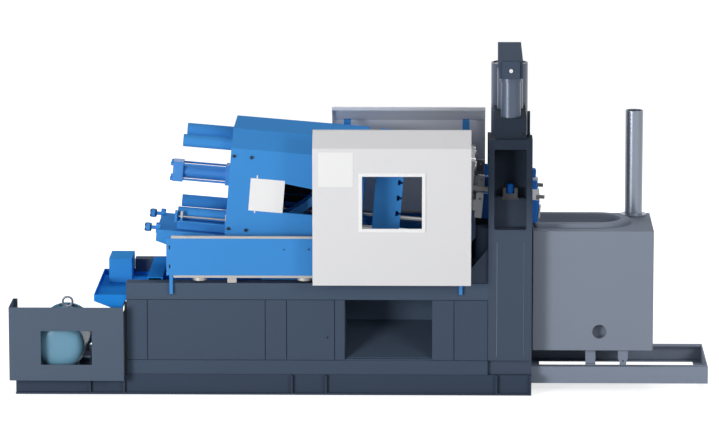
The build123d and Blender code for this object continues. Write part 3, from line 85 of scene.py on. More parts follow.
# %% Floor and world
def new_tree(material):
    material.use_nodes = True
    tree = material.node_tree
    tree.nodes.clear()
    return tree


def put(tree, kind, **settings):
    node = tree.nodes.new(kind)
    for key, value in settings.items():
        setattr(node, key, value)
    return node


def seen_directly(tree):
    """One for a ray from the camera, off a mirror or through glass, and nought for the rest."""
    path = put(tree, "ShaderNodeLightPath")
    first = put(tree, "ShaderNodeMath", operation="MAXIMUM")
    both = put(tree, "ShaderNodeMath", operation="MAXIMUM")
    tree.links.new(path.outputs["Is Camera Ray"], first.inputs[0])
    tree.links.new(path.outputs["Is Transmission Ray"], first.inputs[1])
    tree.links.new(first.outputs[0], both.inputs[0])
    tree.links.new(path.outputs["Is Glossy Ray"], both.inputs[1])
    return both.outputs[0]


def floor_material(lift=0.72):
    material = bpy.data.materials.new("studio_floor")
    tree = new_tree(material)
    pale = put(tree, "ShaderNodeBsdfDiffuse")
    pale.inputs["Color"].default_value = (0.80, 0.80, 0.81, 1)
    glow = put(tree, "ShaderNodeEmission")
    glow.inputs["Color"].default_value = (1, 1, 1, 1)
    amount = put(tree, "ShaderNodeMath", operation="MULTIPLY")
    amount.inputs[1].default_value = lift
    both = put(tree, "ShaderNodeAddShader")
    out = put(tree, "ShaderNodeOutputMaterial")
    tree.links.new(seen_directly(tree), amount.inputs[0])
    tree.links.new(amount.outputs[0], glow.inputs["Strength"])
    tree.links.new(pale.outputs[0], both.inputs[0])
    tree.links.new(glow.outputs[0], both.inputs[1])
    tree.links.new(both.outputs[0], out.inputs["Surface"])
    return material


def make_floor(half=40.0):
    mesh = bpy.data.meshes.new("floor")
    corners = [(-half, -half, 0), (half, -half, 0), (half, half, 0), (-half, half, 0)]
    mesh.from_pydata(corners, [], [(0, 1, 2, 3)])
    floor = bpy.data.objects.new("floor", mesh)
    mesh.materials.append(floor_material())
    bpy.context.scene.collection.objects.link(floor)
    return floor


def make_world(lamp_level=0.34):
    world = bpy.data.worlds.new("studio")
    bpy.context.scene.world = world
    world.use_nodes = True
    tree = world.node_tree
    tree.nodes.clear()
    level = put(tree, "ShaderNodeMapRange")
    level.inputs["To Min"].default_value = lamp_level
    level.inputs["To Max"].default_value = 1.0
    back = put(tree, "ShaderNodeBackground")
    back.inputs["Color"].default_value = (1, 1, 1, 1)
    out = put(tree, "ShaderNodeOutputWorld")
    tree.links.new(seen_directly(tree), level.inputs["Value"])
    tree.links.new(level.outputs["Result"], back.inputs["Strength"])
    tree.links.new(back.outputs[0], out.inputs["Surface"])
    return world


make_floor()
make_world()
bpy.context.scene.view_settings.view_transform = "Standard"
print("floor and world are white to the camera")

# %% [markdown]
# Three big soft boxes shape the paint. The left one is the strongest, so the steps in the base and the
# round cylinders are lighter on their left. It stands low, because the fronts of the real machine are
# as light as its tops. The right one only opens the shadows, and one behind lights the tops.

# %% Soft boxes
def soft_box(name, place, aim, width, height, watts):
    lamp = bpy.data.lights.new(name, "AREA")
    lamp.shape = "RECTANGLE"
    lamp.size, lamp.size_y = width, height
    lamp.energy = watts
    box = bpy.data.objects.new(name, lamp)
    box.location = place
    box.rotation_euler = (Vector(aim) - Vector(place)).to_track_quat("-Z", "Y").to_euler()
    bpy.context.scene.collection.objects.link(box)
    return box


key = soft_box("key_left", (-6.5, -9.0, 2.0), (0.0, 0.0, 0.9), 3.0, 3.6, 690)
fill = soft_box("fill_right", (7.0, -8.0, 4.6), (0.3, 0.0, 0.9), 3.0, 3.0, 230)
top = soft_box("top_back", (0.0, 5.5, 6.5), (0.0, 0.0, 1.0), 6.0, 3.0, 260)
print("lamps:", [(o.name, o.data.energy) for o in (key, fill, top)])

# %% [markdown]
# Sprayed machine paint has three small signs that tell it from flat colour: an orange-peel ripple,
# a slow change of tone over a big sheet, and paint that thins to a lighter line along its edges.
# All paints here share them, so they are one node group with the amounts as inputs.

# %% Shared paint surface
def socket(group, name, kind, way, value=None):
    made = group.interface.new_socket(name=name, in_out=way, socket_type=kind)
    if value is not None:
        made.default_value = value
    return made


def paint_surface_group():
    group = bpy.data.node_groups.new("paint_surface", "ShaderNodeTree")
    socket(group, "Paint", "NodeSocketColor", "INPUT", (0.5, 0.5, 0.5, 1))
    socket(group, "Worn", "NodeSocketColor", "INPUT", (0.6, 0.6, 0.6, 1))
    socket(group, "Wear", "NodeSocketFloat", "INPUT", 0.3)
    socket(group, "Tone", "NodeSocketFloat", "INPUT", 0.06)
    socket(group, "Gloss", "NodeSocketFloat", "INPUT", 0.4)
    socket(group, "Round", "NodeSocketFloat", "INPUT", 0.003)
    socket(group, "Peel", "NodeSocketFloat", "INPUT", 1.0)
    socket(group, "Color", "NodeSocketColor", "OUTPUT")
    socket(group, "Roughness", "NodeSocketFloat", "OUTPUT")
    socket(group, "Normal", "NodeSocketVector", "OUTPUT")
    ins = put(group, "NodeGroupInput")
    outs = put(group, "NodeGroupOutput")
    place = put(group, "ShaderNodeTexCoord")
    link = group.links.new

    slow = put(group, "ShaderNodeTexNoise")
    slow.inputs["Scale"].default_value = 1.7
    slow.inputs["Detail"].default_value = 3
    link(place.outputs["Object"], slow.inputs["Vector"])
    swing = put(group, "ShaderNodeMath", operation="SUBTRACT")
    swing.inputs[1].default_value = 0.5
    link(slow.outputs["Fac"], swing.inputs[0])
    amount = put(group, "ShaderNodeMath", operation="MULTIPLY_ADD")
    amount.inputs[2].default_value = 1.0
    link(swing.outputs[0], amount.inputs[0])
    link(ins.outputs["Tone"], amount.inputs[1])
    toned = put(group, "ShaderNodeVectorMath", operation="SCALE")
    link(ins.outputs["Paint"], toned.inputs[0])
    link(amount.outputs[0], toned.inputs["Scale"])

    edge_round = put(group, "ShaderNodeBevel", samples=4)
    link(ins.outputs["Round"], edge_round.inputs["Radius"])
    flat = put(group, "ShaderNodeNewGeometry")
    agree = put(group, "ShaderNodeVectorMath", operation="DOT_PRODUCT")
    link(edge_round.outputs["Normal"], agree.inputs[0])
    link(flat.outputs["Normal"], agree.inputs[1])
    edge = put(group, "ShaderNodeMapRange", clamp=True)
    edge.inputs["From Min"].default_value = 0.995
    edge.inputs["From Max"].default_value = 0.85
    link(agree.outputs["Value"], edge.inputs["Value"])
    patch = put(group, "ShaderNodeTexNoise")
    patch.inputs["Scale"].default_value = 38
    patch.inputs["Detail"].default_value = 5
    link(place.outputs["Object"], patch.inputs["Vector"])
    broken = put(group, "ShaderNodeMapRange", clamp=True)
    broken.inputs["From Min"].default_value = 0.42
    broken.inputs["From Max"].default_value = 0.62
    link(patch.outputs["Fac"], broken.inputs["Value"])
    worn_edge = put(group, "ShaderNodeMath", operation="MULTIPLY")
    link(edge.outputs["Result"], worn_edge.inputs[0])
    link(broken.outputs["Result"], worn_edge.inputs[1])
    worn_amount = put(group, "ShaderNodeMath", operation="MULTIPLY")
    link(worn_edge.outputs[0], worn_amount.inputs[0])
    link(ins.outputs["Wear"], worn_amount.inputs[1])
    blend = put(group, "ShaderNodeMix", data_type="RGBA")
    link(worn_amount.outputs[0], blend.inputs["Factor"])
    link(toned.outputs[0], blend.inputs[6])
    link(ins.outputs["Worn"], blend.inputs[7])
    link(blend.outputs[2], outs.inputs["Color"])

    fine = put(group, "ShaderNodeTexNoise")
    fine.inputs["Scale"].default_value = 260
    fine.inputs["Detail"].default_value = 2
    link(place.outputs["Object"], fine.inputs["Vector"])
    rough_swing = put(group, "ShaderNodeMath", operation="MULTIPLY_ADD")
    rough_swing.inputs[1].default_value = 0.10
    link(slow.outputs["Fac"], rough_swing.inputs[0])
    less = put(group, "ShaderNodeMath", operation="SUBTRACT")
    less.inputs[1].default_value = 0.05
    link(ins.outputs["Gloss"], less.inputs[0])
    link(less.outputs[0], rough_swing.inputs[2])
    link(rough_swing.outputs[0], outs.inputs["Roughness"])
    peel = put(group, "ShaderNodeBump")
    peel.inputs["Distance"].default_value = 0.0006
    ripple = put(group, "ShaderNodeMath", operation="MULTIPLY")
    ripple.inputs[1].default_value = 0.06
    link(ins.outputs["Peel"], ripple.inputs[0])
    link(ripple.outputs[0], peel.inputs["Strength"])
    link(fine.outputs["Fac"], peel.inputs["Height"])
    link(edge_round.outputs["Normal"], peel.inputs["Normal"])
    link(peel.outputs["Normal"], outs.inputs["Normal"])
    return group


paint_group = paint_surface_group()
print("group", paint_group.name, "with", len(paint_group.nodes), "nodes")

# %% [markdown]
# The clamp unit lies tilted on the base, so its parts are easiest to place along and across its own
# axis. One matrix carries a point from that frame to the machine's, and a Mapping node with the
# same numbers lets a material find its place in it.

# %% The clamp's own frame
TILT = math.radians(4.8)
AXIS_HIGH = 1.208
CLAMP = Matrix.Translation((0, 0, AXIS_HIGH)) @ Matrix.Rotation(TILT, 4, "Y")


def clamp_point(along, across, up):
    return CLAMP @ Vector((along, across, up))


def clamp_mapping(tree):
    turn = put(tree, "ShaderNodeMapping")
    turn.inputs["Rotation"].default_value = (0, -TILT, 0)
    turn.inputs["Location"].default_value = (AXIS_HIGH * math.sin(TILT), 0, -AXIS_HIGH * math.cos(TILT))
    return turn


print("the clamp axis falls", round(math.degrees(TILT), 1), "degrees to the right")

# %% [markdown]
# A few bought-in blocks are one solid with the casting that carries them, but have their own colour.
# A box mask finds them: it is one inside a box and nought outside. The two sides of the machine
# match, so the box is tested with the distance from the middle plane.

# %% Box mask
def box_mask_group():
    group = bpy.data.node_groups.new("box_mask", "ShaderNodeTree")
    socket(group, "Place", "NodeSocketVector", "INPUT", (0, 0, 0))
    socket(group, "Low", "NodeSocketVector", "INPUT", (0, 0, 0))
    socket(group, "High", "NodeSocketVector", "INPUT", (1, 1, 1))
    socket(group, "Mask", "NodeSocketFloat", "OUTPUT")
    ins = put(group, "NodeGroupInput")
    outs = put(group, "NodeGroupOutput")
    link = group.links.new
    apart = put(group, "ShaderNodeSeparateXYZ")
    link(ins.outputs["Place"], apart.inputs[0])
    side = put(group, "ShaderNodeMath", operation="ABSOLUTE")
    link(apart.outputs["Y"], side.inputs[0])
    together = put(group, "ShaderNodeCombineXYZ")
    link(apart.outputs["X"], together.inputs["X"])
    link(side.outputs[0], together.inputs["Y"])
    link(apart.outputs["Z"], together.inputs["Z"])
    above = put(group, "ShaderNodeVectorMath", operation="SUBTRACT")
    link(together.outputs[0], above.inputs[0])
    link(ins.outputs["Low"], above.inputs[1])
    below = put(group, "ShaderNodeVectorMath", operation="SUBTRACT")
    link(ins.outputs["High"], below.inputs[0])
    link(together.outputs[0], below.inputs[1])
    least = put(group, "ShaderNodeVectorMath", operation="MINIMUM")
    link(above.outputs[0], least.inputs[0])
    link(below.outputs[0], least.inputs[1])
    parts = put(group, "ShaderNodeSeparateXYZ")
    link(least.outputs[0], parts.inputs[0])
    first = put(group, "ShaderNodeMath", operation="MINIMUM")
    link(parts.outputs["X"], first.inputs[0])
    link(parts.outputs["Y"], first.inputs[1])
    second = put(group, "ShaderNodeMath", operation="MINIMUM")
    link(first.outputs[0], second.inputs[0])
    link(parts.outputs["Z"], second.inputs[1])
    inside = put(group, "ShaderNodeMath", operation="GREATER_THAN")
    inside.inputs[1].default_value = 0.0
    link(second.outputs[0], inside.inputs[0])
    link(inside.outputs[0], outs.inputs["Mask"])
    return group


box_mask = box_mask_group()
print("group", box_mask.name, "with", len(box_mask.nodes), "nodes")

# %% [markdown]
# Each paint is the same recipe with its own colour. A colour from the picture is read in the
# 0 to 255 scale of a screen and has to be turned to the linear scale that light uses.
# The patches are the other colours on a piece: where they are, and what they are. The tower's upper half
# is darker in the photograph, so a paint may have a second colour that it turns to with height: painted
# shade, darker towards the top.

# %% Paints
WORN_GAIN, WORN_LIFT = 1.6, 0.04
COAT_ROUGHNESS = 0.18


def linear(r, g, b):
    def one(v):
        v = v / 255
        return v / 12.92 if v <= 0.04045 else ((v + 0.055) / 1.055) ** 2.4
    return (one(r), one(g), one(b), 1.0)


def patched(tree, color, patches, upper=None, shade_turns_at=(0.98, 1.30)):
    """The plain colour, overlaid with one colour for each box of the clamp's frame or the machine's."""
    place = put(tree, "ShaderNodeTexCoord")
    apart = put(tree, "ShaderNodeSeparateXYZ")
    tree.links.new(place.outputs["Object"], apart.inputs[0])
    # Painted shade: the colour turns to the darker upper colour with height.
    rise = put(tree, "ShaderNodeMapRange", clamp=True)
    rise.inputs["From Min"].default_value, rise.inputs["From Max"].default_value = shade_turns_at
    tree.links.new(apart.outputs["Z"], rise.inputs["Value"])
    plain = put(tree, "ShaderNodeMix", data_type="RGBA")
    plain.inputs[6].default_value = color
    plain.inputs[7].default_value = linear(*upper) if upper else color
    tree.links.new(rise.outputs["Result"], plain.inputs["Factor"])
    last = plain.outputs[2]
    for frame_name, low, high, shade in patches:
        mask = put(tree, "ShaderNodeGroup")
        mask.node_tree = box_mask
        if frame_name == "clamp":
            turn = clamp_mapping(tree)
            tree.links.new(place.outputs["Object"], turn.inputs["Vector"])
            tree.links.new(turn.outputs["Vector"], mask.inputs["Place"])
        else:
            tree.links.new(place.outputs["Object"], mask.inputs["Place"])
        mask.inputs["Low"].default_value = low
        mask.inputs["High"].default_value = high
        over = put(tree, "ShaderNodeMix", data_type="RGBA")
        over.inputs[7].default_value = linear(*shade)
        tree.links.new(mask.outputs["Mask"], over.inputs["Factor"])
        tree.links.new(last, over.inputs[6])
        last = over.outputs[2]
    return last


def paint(name, shade, wear=0.2, tone=0.08, gloss=0.5, rounding=0.003, coat=0.0, sheen=0.25, metal=0.0,
          peel=1.0, upper=None, patches=()):
    material = bpy.data.materials.new(name)
    tree = new_tree(material)
    surface = put(tree, "ShaderNodeGroup")
    surface.node_tree = paint_group
    color = linear(*shade)
    worn = tuple(min(1.0, c * WORN_GAIN + WORN_LIFT) for c in color[:3]) + (1.0,)
    surface.inputs["Paint"].default_value = color
    if patches:
        tree.links.new(patched(tree, color, patches, upper), surface.inputs["Paint"])
    surface.inputs["Peel"].default_value = peel
    surface.inputs["Worn"].default_value = worn
    surface.inputs["Wear"].default_value = wear
    surface.inputs["Tone"].default_value = tone
    surface.inputs["Gloss"].default_value = gloss
    surface.inputs["Round"].default_value = rounding
    shader = put(tree, "ShaderNodeBsdfPrincipled")
    shader.inputs["Specular IOR Level"].default_value = sheen
    shader.inputs["Metallic"].default_value = metal
    shader.inputs["Coat Weight"].default_value = coat
    shader.inputs["Coat Roughness"].default_value = COAT_ROUGHNESS
    out = put(tree, "ShaderNodeOutputMaterial")
    tree.links.new(surface.outputs["Color"], shader.inputs["Base Color"])
    tree.links.new(surface.outputs["Roughness"], shader.inputs["Roughness"])
    tree.links.new(surface.outputs["Normal"], shader.inputs["Normal"])
    tree.links.new(shader.outputs[0], out.inputs["Surface"])
    return material


slate = paint("slate_paint", (70, 83, 101), gloss=0.8, sheen=0.04)
body_slate = paint("body_paint", (74, 88, 107), gloss=0.8, sheen=0.04)
skid_slate = paint("skid_paint", (60, 71, 88), gloss=0.8, sheen=0.04)
guard_slate = paint("guard_paint", (82, 95, 112), gloss=0.8, sheen=0.06)
# The tower's upper colour is painted shade, darker towards the top.
tower_slate = paint("tower_paint", (72, 83, 100), gloss=0.8, sheen=0.06, upper=(43, 52, 65), patches=[
    ("machine", (0.86, 0.25, 1.18), (0.96, 0.33, 1.2585), (84, 86, 90)),
    ("machine", (0.8835, 0.256, 1.21), (0.9335, 0.311, 1.2905), (24, 92, 176))])
head_slate = paint("head_paint", (70, 82, 99), gloss=0.8, sheen=0.02)
cylinder_slate = paint("cylinder_paint", (77, 89, 108), wear=0.0, gloss=0.30, peel=0.05, sheen=0.5,
                       metal=0.2)
blue = paint("clamp_blue", (66, 140, 209), gloss=0.85, sheen=0.01, wear=0.08)
cylinder_blue = paint("cylinder_blue", (62, 136, 208), gloss=0.38, sheen=0.35, wear=0.0, peel=0.1)
# The links' blue is much lighter than the clamp's paint: painted light that lifts them out of the shade
# inside the hood.
lit_link_blue = paint("lit_link_blue", (84, 176, 252), gloss=0.6, sheen=0.2, wear=0.0)
box_blue = paint("box_blue", (58, 146, 218), gloss=0.85, sheen=0.02, wear=0.08)
# The beads' paler paint is a painted highlight along the tower's seams.
bead_highlight_slate = paint("bead_highlight_paint", (108, 120, 137), gloss=0.6, sheen=0.1, wear=0.0)
mount_blue = paint("mount_blue", (30, 104, 190), gloss=0.6, sheen=0.2, wear=0.1, patches=[
    ("clamp", (1.024, 0.10, 0.044), (1.084, 0.32, 0.109), (226, 228, 230)),
    ("clamp", (1.064, 0.15, 0.048), (1.125, 0.30, 0.076), (120, 122, 124)),
    ("clamp", (1.086, 0.10, -0.068), (1.101, 0.32, 0.013), (196, 199, 202))])
tray_blue = paint("tray_blue", (36, 130, 214), gloss=0.85, sheen=0.01, wear=0.08)
door_grey = paint("door_grey", (220, 220, 222), wear=0.04, tone=0.02, gloss=0.8, sheen=0.12)
rear_grey = paint("rear_door_grey", (218, 221, 228), wear=0.03, tone=0.04, gloss=0.4, sheen=0.3)
trim_white = paint("trim_white", (236, 236, 237), wear=0.03, tone=0.02, gloss=0.5, sheen=0.25)
plate_white = paint("plate_white", (232, 232, 232), wear=0.02, tone=0.02, gloss=0.45, sheen=0.3)
furnace_grey = paint("furnace_grey", (133, 142, 157), tone=0.06, gloss=0.8, sheen=0.05, wear=0.12)
rail_grey = paint("rail_grey", (134, 144, 161), tone=0.08, gloss=0.8, sheen=0.06)
platen_grey = paint("platen_grey", (150, 151, 152), gloss=0.5, sheen=0.3, metal=0.2, patches=[
    ("clamp", (0.700, 0.20, 0.106), (0.760, 0.33, 0.200), (122, 124, 128)),
    ("clamp", (0.676, 0.20, 0.081), (0.780, 0.33, 0.106), (152, 150, 147)),
    ("clamp", (0.690, 0.20, -0.10), (0.760, 0.33, 0.070), (186, 187, 188))])
flue_grey = paint("flue_grey", (134, 142, 155), wear=0.0, gloss=0.30, peel=0.1, sheen=0.5, metal=0.7)
motor_teal = paint("motor_teal", (100, 146, 170), gloss=0.42, coat=0.1, sheen=0.3)
link_black = paint("link_black", (30, 33, 40), gloss=0.45)
hose_rubber = paint("hose_rubber", (60, 62, 64), tone=0.1, gloss=0.7)
print("paints:", [m.name for m in bpy.data.materials if m.name != "studio_floor"])

# %% [markdown]
# Ground bars and rails are bare steel. Grinding leaves fine lines, so the metal's roughness is broken
# up by a noise that is stretched along the bar, and the colour keeps a faint warm and cool drift.

# %% Bare metals
def steel(name, shade, rough=0.32, stretch=(4.0, 90.0, 90.0), bump=0.05, rounding=0.0015, metal=1.0):
    material = bpy.data.materials.new(name)
    tree = new_tree(material)
    link = tree.links.new
    place = put(tree, "ShaderNodeTexCoord")
    grind = put(tree, "ShaderNodeMapping")
    grind.inputs["Scale"].default_value = stretch
    link(place.outputs["Object"], grind.inputs["Vector"])
    lines = put(tree, "ShaderNodeTexNoise")
    lines.inputs["Scale"].default_value = 6
    lines.inputs["Detail"].default_value = 6
    link(grind.outputs["Vector"], lines.inputs["Vector"])
    spread = put(tree, "ShaderNodeMapRange")
    spread.inputs["To Min"].default_value = rough - 0.08
    spread.inputs["To Max"].default_value = rough + 0.10
    link(lines.outputs["Fac"], spread.inputs["Value"])
    tint = put(tree, "ShaderNodeMix", data_type="RGBA")
    base = linear(*shade)
    tint.inputs[6].default_value = tuple(c * 0.82 for c in base[:3]) + (1,)
    tint.inputs[7].default_value = tuple(min(1, c * 1.12) for c in base[:3]) + (1,)
    link(lines.outputs["Fac"], tint.inputs["Factor"])
    edge = put(tree, "ShaderNodeBevel", samples=4)
    edge.inputs["Radius"].default_value = rounding
    relief = put(tree, "ShaderNodeBump")
    relief.inputs["Strength"].default_value = bump
    relief.inputs["Distance"].default_value = 0.0005
    link(lines.outputs["Fac"], relief.inputs["Height"])
    link(edge.outputs["Normal"], relief.inputs["Normal"])
    shader = put(tree, "ShaderNodeBsdfPrincipled")
    shader.inputs["Metallic"].default_value = metal
    out = put(tree, "ShaderNodeOutputMaterial")
    link(tint.outputs[2], shader.inputs["Base Color"])
    link(spread.outputs["Result"], shader.inputs["Roughness"])
    link(relief.outputs["Normal"], shader.inputs["Normal"])
    link(shader.outputs[0], out.inputs["Surface"])
    return material


bright_steel = steel("ground_steel", (204, 203, 200))
milled_steel = steel("milled_steel", (150, 151, 152), rough=0.5, stretch=(30, 30, 90), metal=0.6)
rail_steel = steel("rail_steel", (172, 169, 166), rough=0.5, metal=0.5)
plain_chrome = steel("chrome", (225, 226, 228), rough=0.14, bump=0.01)
eye_steel = steel("eye_steel", (150, 156, 168), rough=0.35, bump=0.01, metal=0.5)
cast_grey = steel("cast_grey", (132, 134, 137), rough=0.55, stretch=(30, 30, 30), bump=0.2, metal=0.4)
screw_steel = steel("screw_black", (44, 46, 52), rough=0.42, stretch=(60, 60, 60), metal=0.6)
metals = (bright_steel, milled_steel, rail_steel, plain_chrome, eye_steel, cast_grey, screw_steel)
print("metals:", [m.name for m in metals])

# %% [markdown]
# A CAD node keeps its own mesh. Only the material in its slot changes, so the finish can be picked
# from one list: every node's name against the paint or metal that the photograph shows on it.

# %% Dress the CAD nodes
finish_of = {
    slate: ["base_panels", "chute"],
    body_slate: ["base_body"],
    skid_slate: ["base_skid"],
    guard_slate: ["motor_guard"],
    tower_slate: ["tower"],
    head_slate: ["head_beam"],
    cylinder_slate: ["head_cylinders", "accumulator_tube"],
    blue: ["clamp_bed", "end_flanges", "tail_platen", "tie_bar_sleeves", "clamp_hood", "moving_platen",
           "rail_panels"],
    cylinder_blue: ["clamp_cylinder"],
    lit_link_blue: ["rear_link_upper", "rear_link_lower", "front_link_upper", "front_link_lower"],
    mount_blue: ["nozzle_mount"],
    tray_blue: ["drip_tray", "cross_tube"],
    box_blue: ["tray_box"],
    door_grey: ["front_door"],
    rear_grey: ["rear_door"],
    trim_white: ["window_frame"],
    plate_white: ["hood_plate"],
    furnace_grey: ["furnace_shell", "furnace_rim"],
    flue_grey: ["flue"],
    rail_grey: ["furnace_rails", "furnace_feet"],
    motor_teal: ["pump_motor"],
    link_black: ["crosshead"],
    bright_steel: ["tie_bars", "front_door_rollers", "rear_door_rollers"],
    platen_grey: ["fixed_platen"],
    rail_steel: ["door_rails", "linear_scale"],
    plain_chrome: ["clamp_rod"],
    eye_steel: ["motor_eye"],
    cast_grey: ["hydraulic_pump"],
    hose_rubber: ["pump_hose"],
}


def dress(node, material):
    mesh = nodes[node].data
    mesh.materials.clear()
    mesh.materials.append(material)


for material, names in finish_of.items():
    for name in names:
        dress(name, material)
bare = sorted(set(nodes) - {n for names in finish_of.values() for n in names})
print("dressed", len(nodes) - len(bare), "nodes; left bare:", bare)

# %% [markdown]
# A new piece needs three things: a mesh whose numbers are already in the machine's own frame, a body
# to ride on, and the name of the finish it belongs to. One helper does this for every piece below.

# %% Finish a piece
def finished(name, mesh, body, material=None):
    piece = bpy.data.objects.new(name, mesh)
    if material is not None:
        mesh.materials.clear()
        mesh.materials.append(material)
    bpy.context.scene.collection.objects.link(piece)
    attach(piece, body)
    return piece


def mesh_from(name, form, smooth=False):
    """Turn a bmesh into a mesh with its faces pointing outwards."""
    bmesh.ops.remove_doubles(form, verts=form.verts, dist=1e-6)
    bmesh.ops.recalc_face_normals(form, faces=form.faces)
    mesh = bpy.data.meshes.new(name)
    form.to_mesh(mesh)
    form.free()
    if smooth:
        for face in mesh.polygons:
            face.use_smooth = True
    return mesh


# %% [markdown]
# The machine is held together by cap screws and hexagon nuts. They are all the same small form in a
# few sizes, so one Geometry Nodes tree draws a head and puts a copy on every point it is given.
# Each point carries two values: the way the head looks, and how wide it is.
# Six sides make a nut, eighteen make a round head, and both get a chamfer and a sunk middle.

# %% Screw head tree
def screw_tree():
    tree = bpy.data.node_groups.new("screw_heads", "GeometryNodeTree")
    tree.is_modifier = True
    socket(tree, "Points", "NodeSocketGeometry", "INPUT")
    socket(tree, "Sides", "NodeSocketInt", "INPUT", 18)
    socket(tree, "Height", "NodeSocketFloat", "INPUT", 0.55)
    socket(tree, "Recess", "NodeSocketFloat", "INPUT", 0.30)
    socket(tree, "Finish", "NodeSocketMaterial", "INPUT")
    socket(tree, "Screws", "NodeSocketGeometry", "OUTPUT")
    ins = put(tree, "NodeGroupInput")
    outs = put(tree, "NodeGroupOutput")
    link = tree.links.new

    head = put(tree, "GeometryNodeMeshCylinder", fill_type="NGON")
    head.inputs["Radius"].default_value = 0.5
    link(ins.outputs["Sides"], head.inputs["Vertices"])
    link(ins.outputs["Height"], head.inputs["Depth"])
    half = put(tree, "ShaderNodeMath", operation="MULTIPLY")
    half.inputs[1].default_value = 0.5
    link(ins.outputs["Height"], half.inputs[0])
    up = put(tree, "ShaderNodeCombineXYZ")
    link(half.outputs[0], up.inputs["Z"])
    seat = put(tree, "GeometryNodeTransform")
    link(head.outputs["Mesh"], seat.inputs["Geometry"])
    link(up.outputs[0], seat.inputs["Translation"])

    def step(geometry, chosen, rise, size):
        push = put(tree, "GeometryNodeExtrudeMesh", mode="FACES")
        push.inputs["Offset Scale"].default_value = rise
        push.inputs["Individual"].default_value = False
        link(geometry, push.inputs["Mesh"])
        link(chosen, push.inputs["Selection"])
        shrink = put(tree, "GeometryNodeScaleElements", domain="FACE")
        shrink.inputs["Scale"].default_value = size
        link(push.outputs["Mesh"], shrink.inputs["Geometry"])
        link(push.outputs["Top"], shrink.inputs["Selection"])
        return shrink.outputs["Geometry"], push.outputs["Top"]

    shape, lid = step(seat.outputs["Geometry"], head.outputs["Top"], 0.07, 0.86)
    shape, lid = step(shape, lid, 0.0, 0.66)
    sink = put(tree, "GeometryNodeExtrudeMesh", mode="FACES")
    sink.inputs["Individual"].default_value = False
    down = put(tree, "ShaderNodeMath", operation="MULTIPLY")
    down.inputs[1].default_value = -1.0
    link(ins.outputs["Recess"], down.inputs[0])
    link(shape, sink.inputs["Mesh"])
    link(lid, sink.inputs["Selection"])
    link(down.outputs[0], sink.inputs["Offset Scale"])

    aim = put(tree, "GeometryNodeInputNamedAttribute", data_type="FLOAT_VECTOR")
    aim.inputs["Name"].default_value = "aim"
    wide = put(tree, "GeometryNodeInputNamedAttribute", data_type="FLOAT")
    wide.inputs["Name"].default_value = "wide"
    turn = put(tree, "FunctionNodeAlignRotationToVector", axis="Z")
    link(aim.outputs["Attribute"], turn.inputs["Vector"])
    copies = put(tree, "GeometryNodeInstanceOnPoints")
    link(ins.outputs["Points"], copies.inputs["Points"])
    link(sink.outputs["Mesh"], copies.inputs["Instance"])
    link(turn.outputs["Rotation"], copies.inputs["Rotation"])
    link(wide.outputs["Attribute"], copies.inputs["Scale"])
    real = put(tree, "GeometryNodeRealizeInstances")
    link(copies.outputs["Instances"], real.inputs["Geometry"])
    coat = put(tree, "GeometryNodeSetMaterial")
    link(real.outputs["Geometry"], coat.inputs["Geometry"])
    link(ins.outputs["Finish"], coat.inputs["Material"])
    link(coat.outputs["Geometry"], outs.inputs["Screws"])
    return tree


screw_heads = screw_tree()
print("tree", screw_heads.name, "with", len(screw_heads.nodes), "nodes")

# %% [markdown]
# The points are a mesh without faces. Once the tree has drawn the heads, the result is copied to a
# plain mesh and the modifier goes, so what rides on the body is only a mesh.

# %% Place screws
def input_key(tree, name):
    return next(item.identifier for item in tree.interface.items_tree if item.name == name)


def screws(name, rows, body, material, sides=18, height=0.55, recess=0.30):
    points = bpy.data.meshes.new(name + "_points")
    points.from_pydata([tuple(place) for place, aim, wide in rows], [], [])
    points.attributes.new("aim", "FLOAT_VECTOR", "POINT")
    points.attributes.new("wide", "FLOAT", "POINT")
    aims, widths = points.attributes["aim"], points.attributes["wide"]
    for index, (place, aim, wide) in enumerate(rows):
        aims.data[index].vector = aim
        widths.data[index].value = wide
    maker = bpy.data.objects.new(name + "_maker", points)
    bpy.context.scene.collection.objects.link(maker)
    modifier = maker.modifiers.new("heads", "NODES")
    modifier.node_group = screw_heads
    modifier[input_key(screw_heads, "Sides")] = sides
    modifier[input_key(screw_heads, "Height")] = height
    modifier[input_key(screw_heads, "Recess")] = recess
    modifier[input_key(screw_heads, "Finish")] = material
    bpy.context.view_layer.update()
    evaluated = maker.evaluated_get(bpy.context.evaluated_depsgraph_get())
    mesh = bpy.data.meshes.new_from_object(evaluated)
    mesh.name = name
    maker.modifiers.clear()
    bpy.data.objects.remove(maker)
    bpy.data.meshes.remove(points)
    piece = finished(name, mesh, body)
    print(name, "has", len(rows), "heads and", len(mesh.polygons), "faces")
    return piece


def both_sides(rows):
    """The same screws on the far side of the machine."""
    mirrored = [((x, -y, z), (ax, -ay, az), wide) for (x, y, z), (ax, ay, az), wide in rows]
    return rows + mirrored


ALONG = CLAMP.to_3x3() @ Vector((1, 0, 0))
BACK_ALONG = -ALONG
NEAR = Vector((0, -1, 0))

# %% [markdown]
# Where the screws are was read from the photograph: three pairs that hold the hood's skirt, two small
# ones in the guide panel, one in the head block, and those round the flanges at the clamp's end.

# %% Black screws on the machine
hood_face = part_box("clamp_hood")[0][1]
panel_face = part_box("rail_panels")[0][1]
BLOCK_FACE = -0.400
HOOD_SCREW_WIDE = 0.019
FLANGE_AT, FLANGE_DEEP, FLANGE_UP, FLANGE_SIDE = -1.271, 0.024, -0.322, 0.238

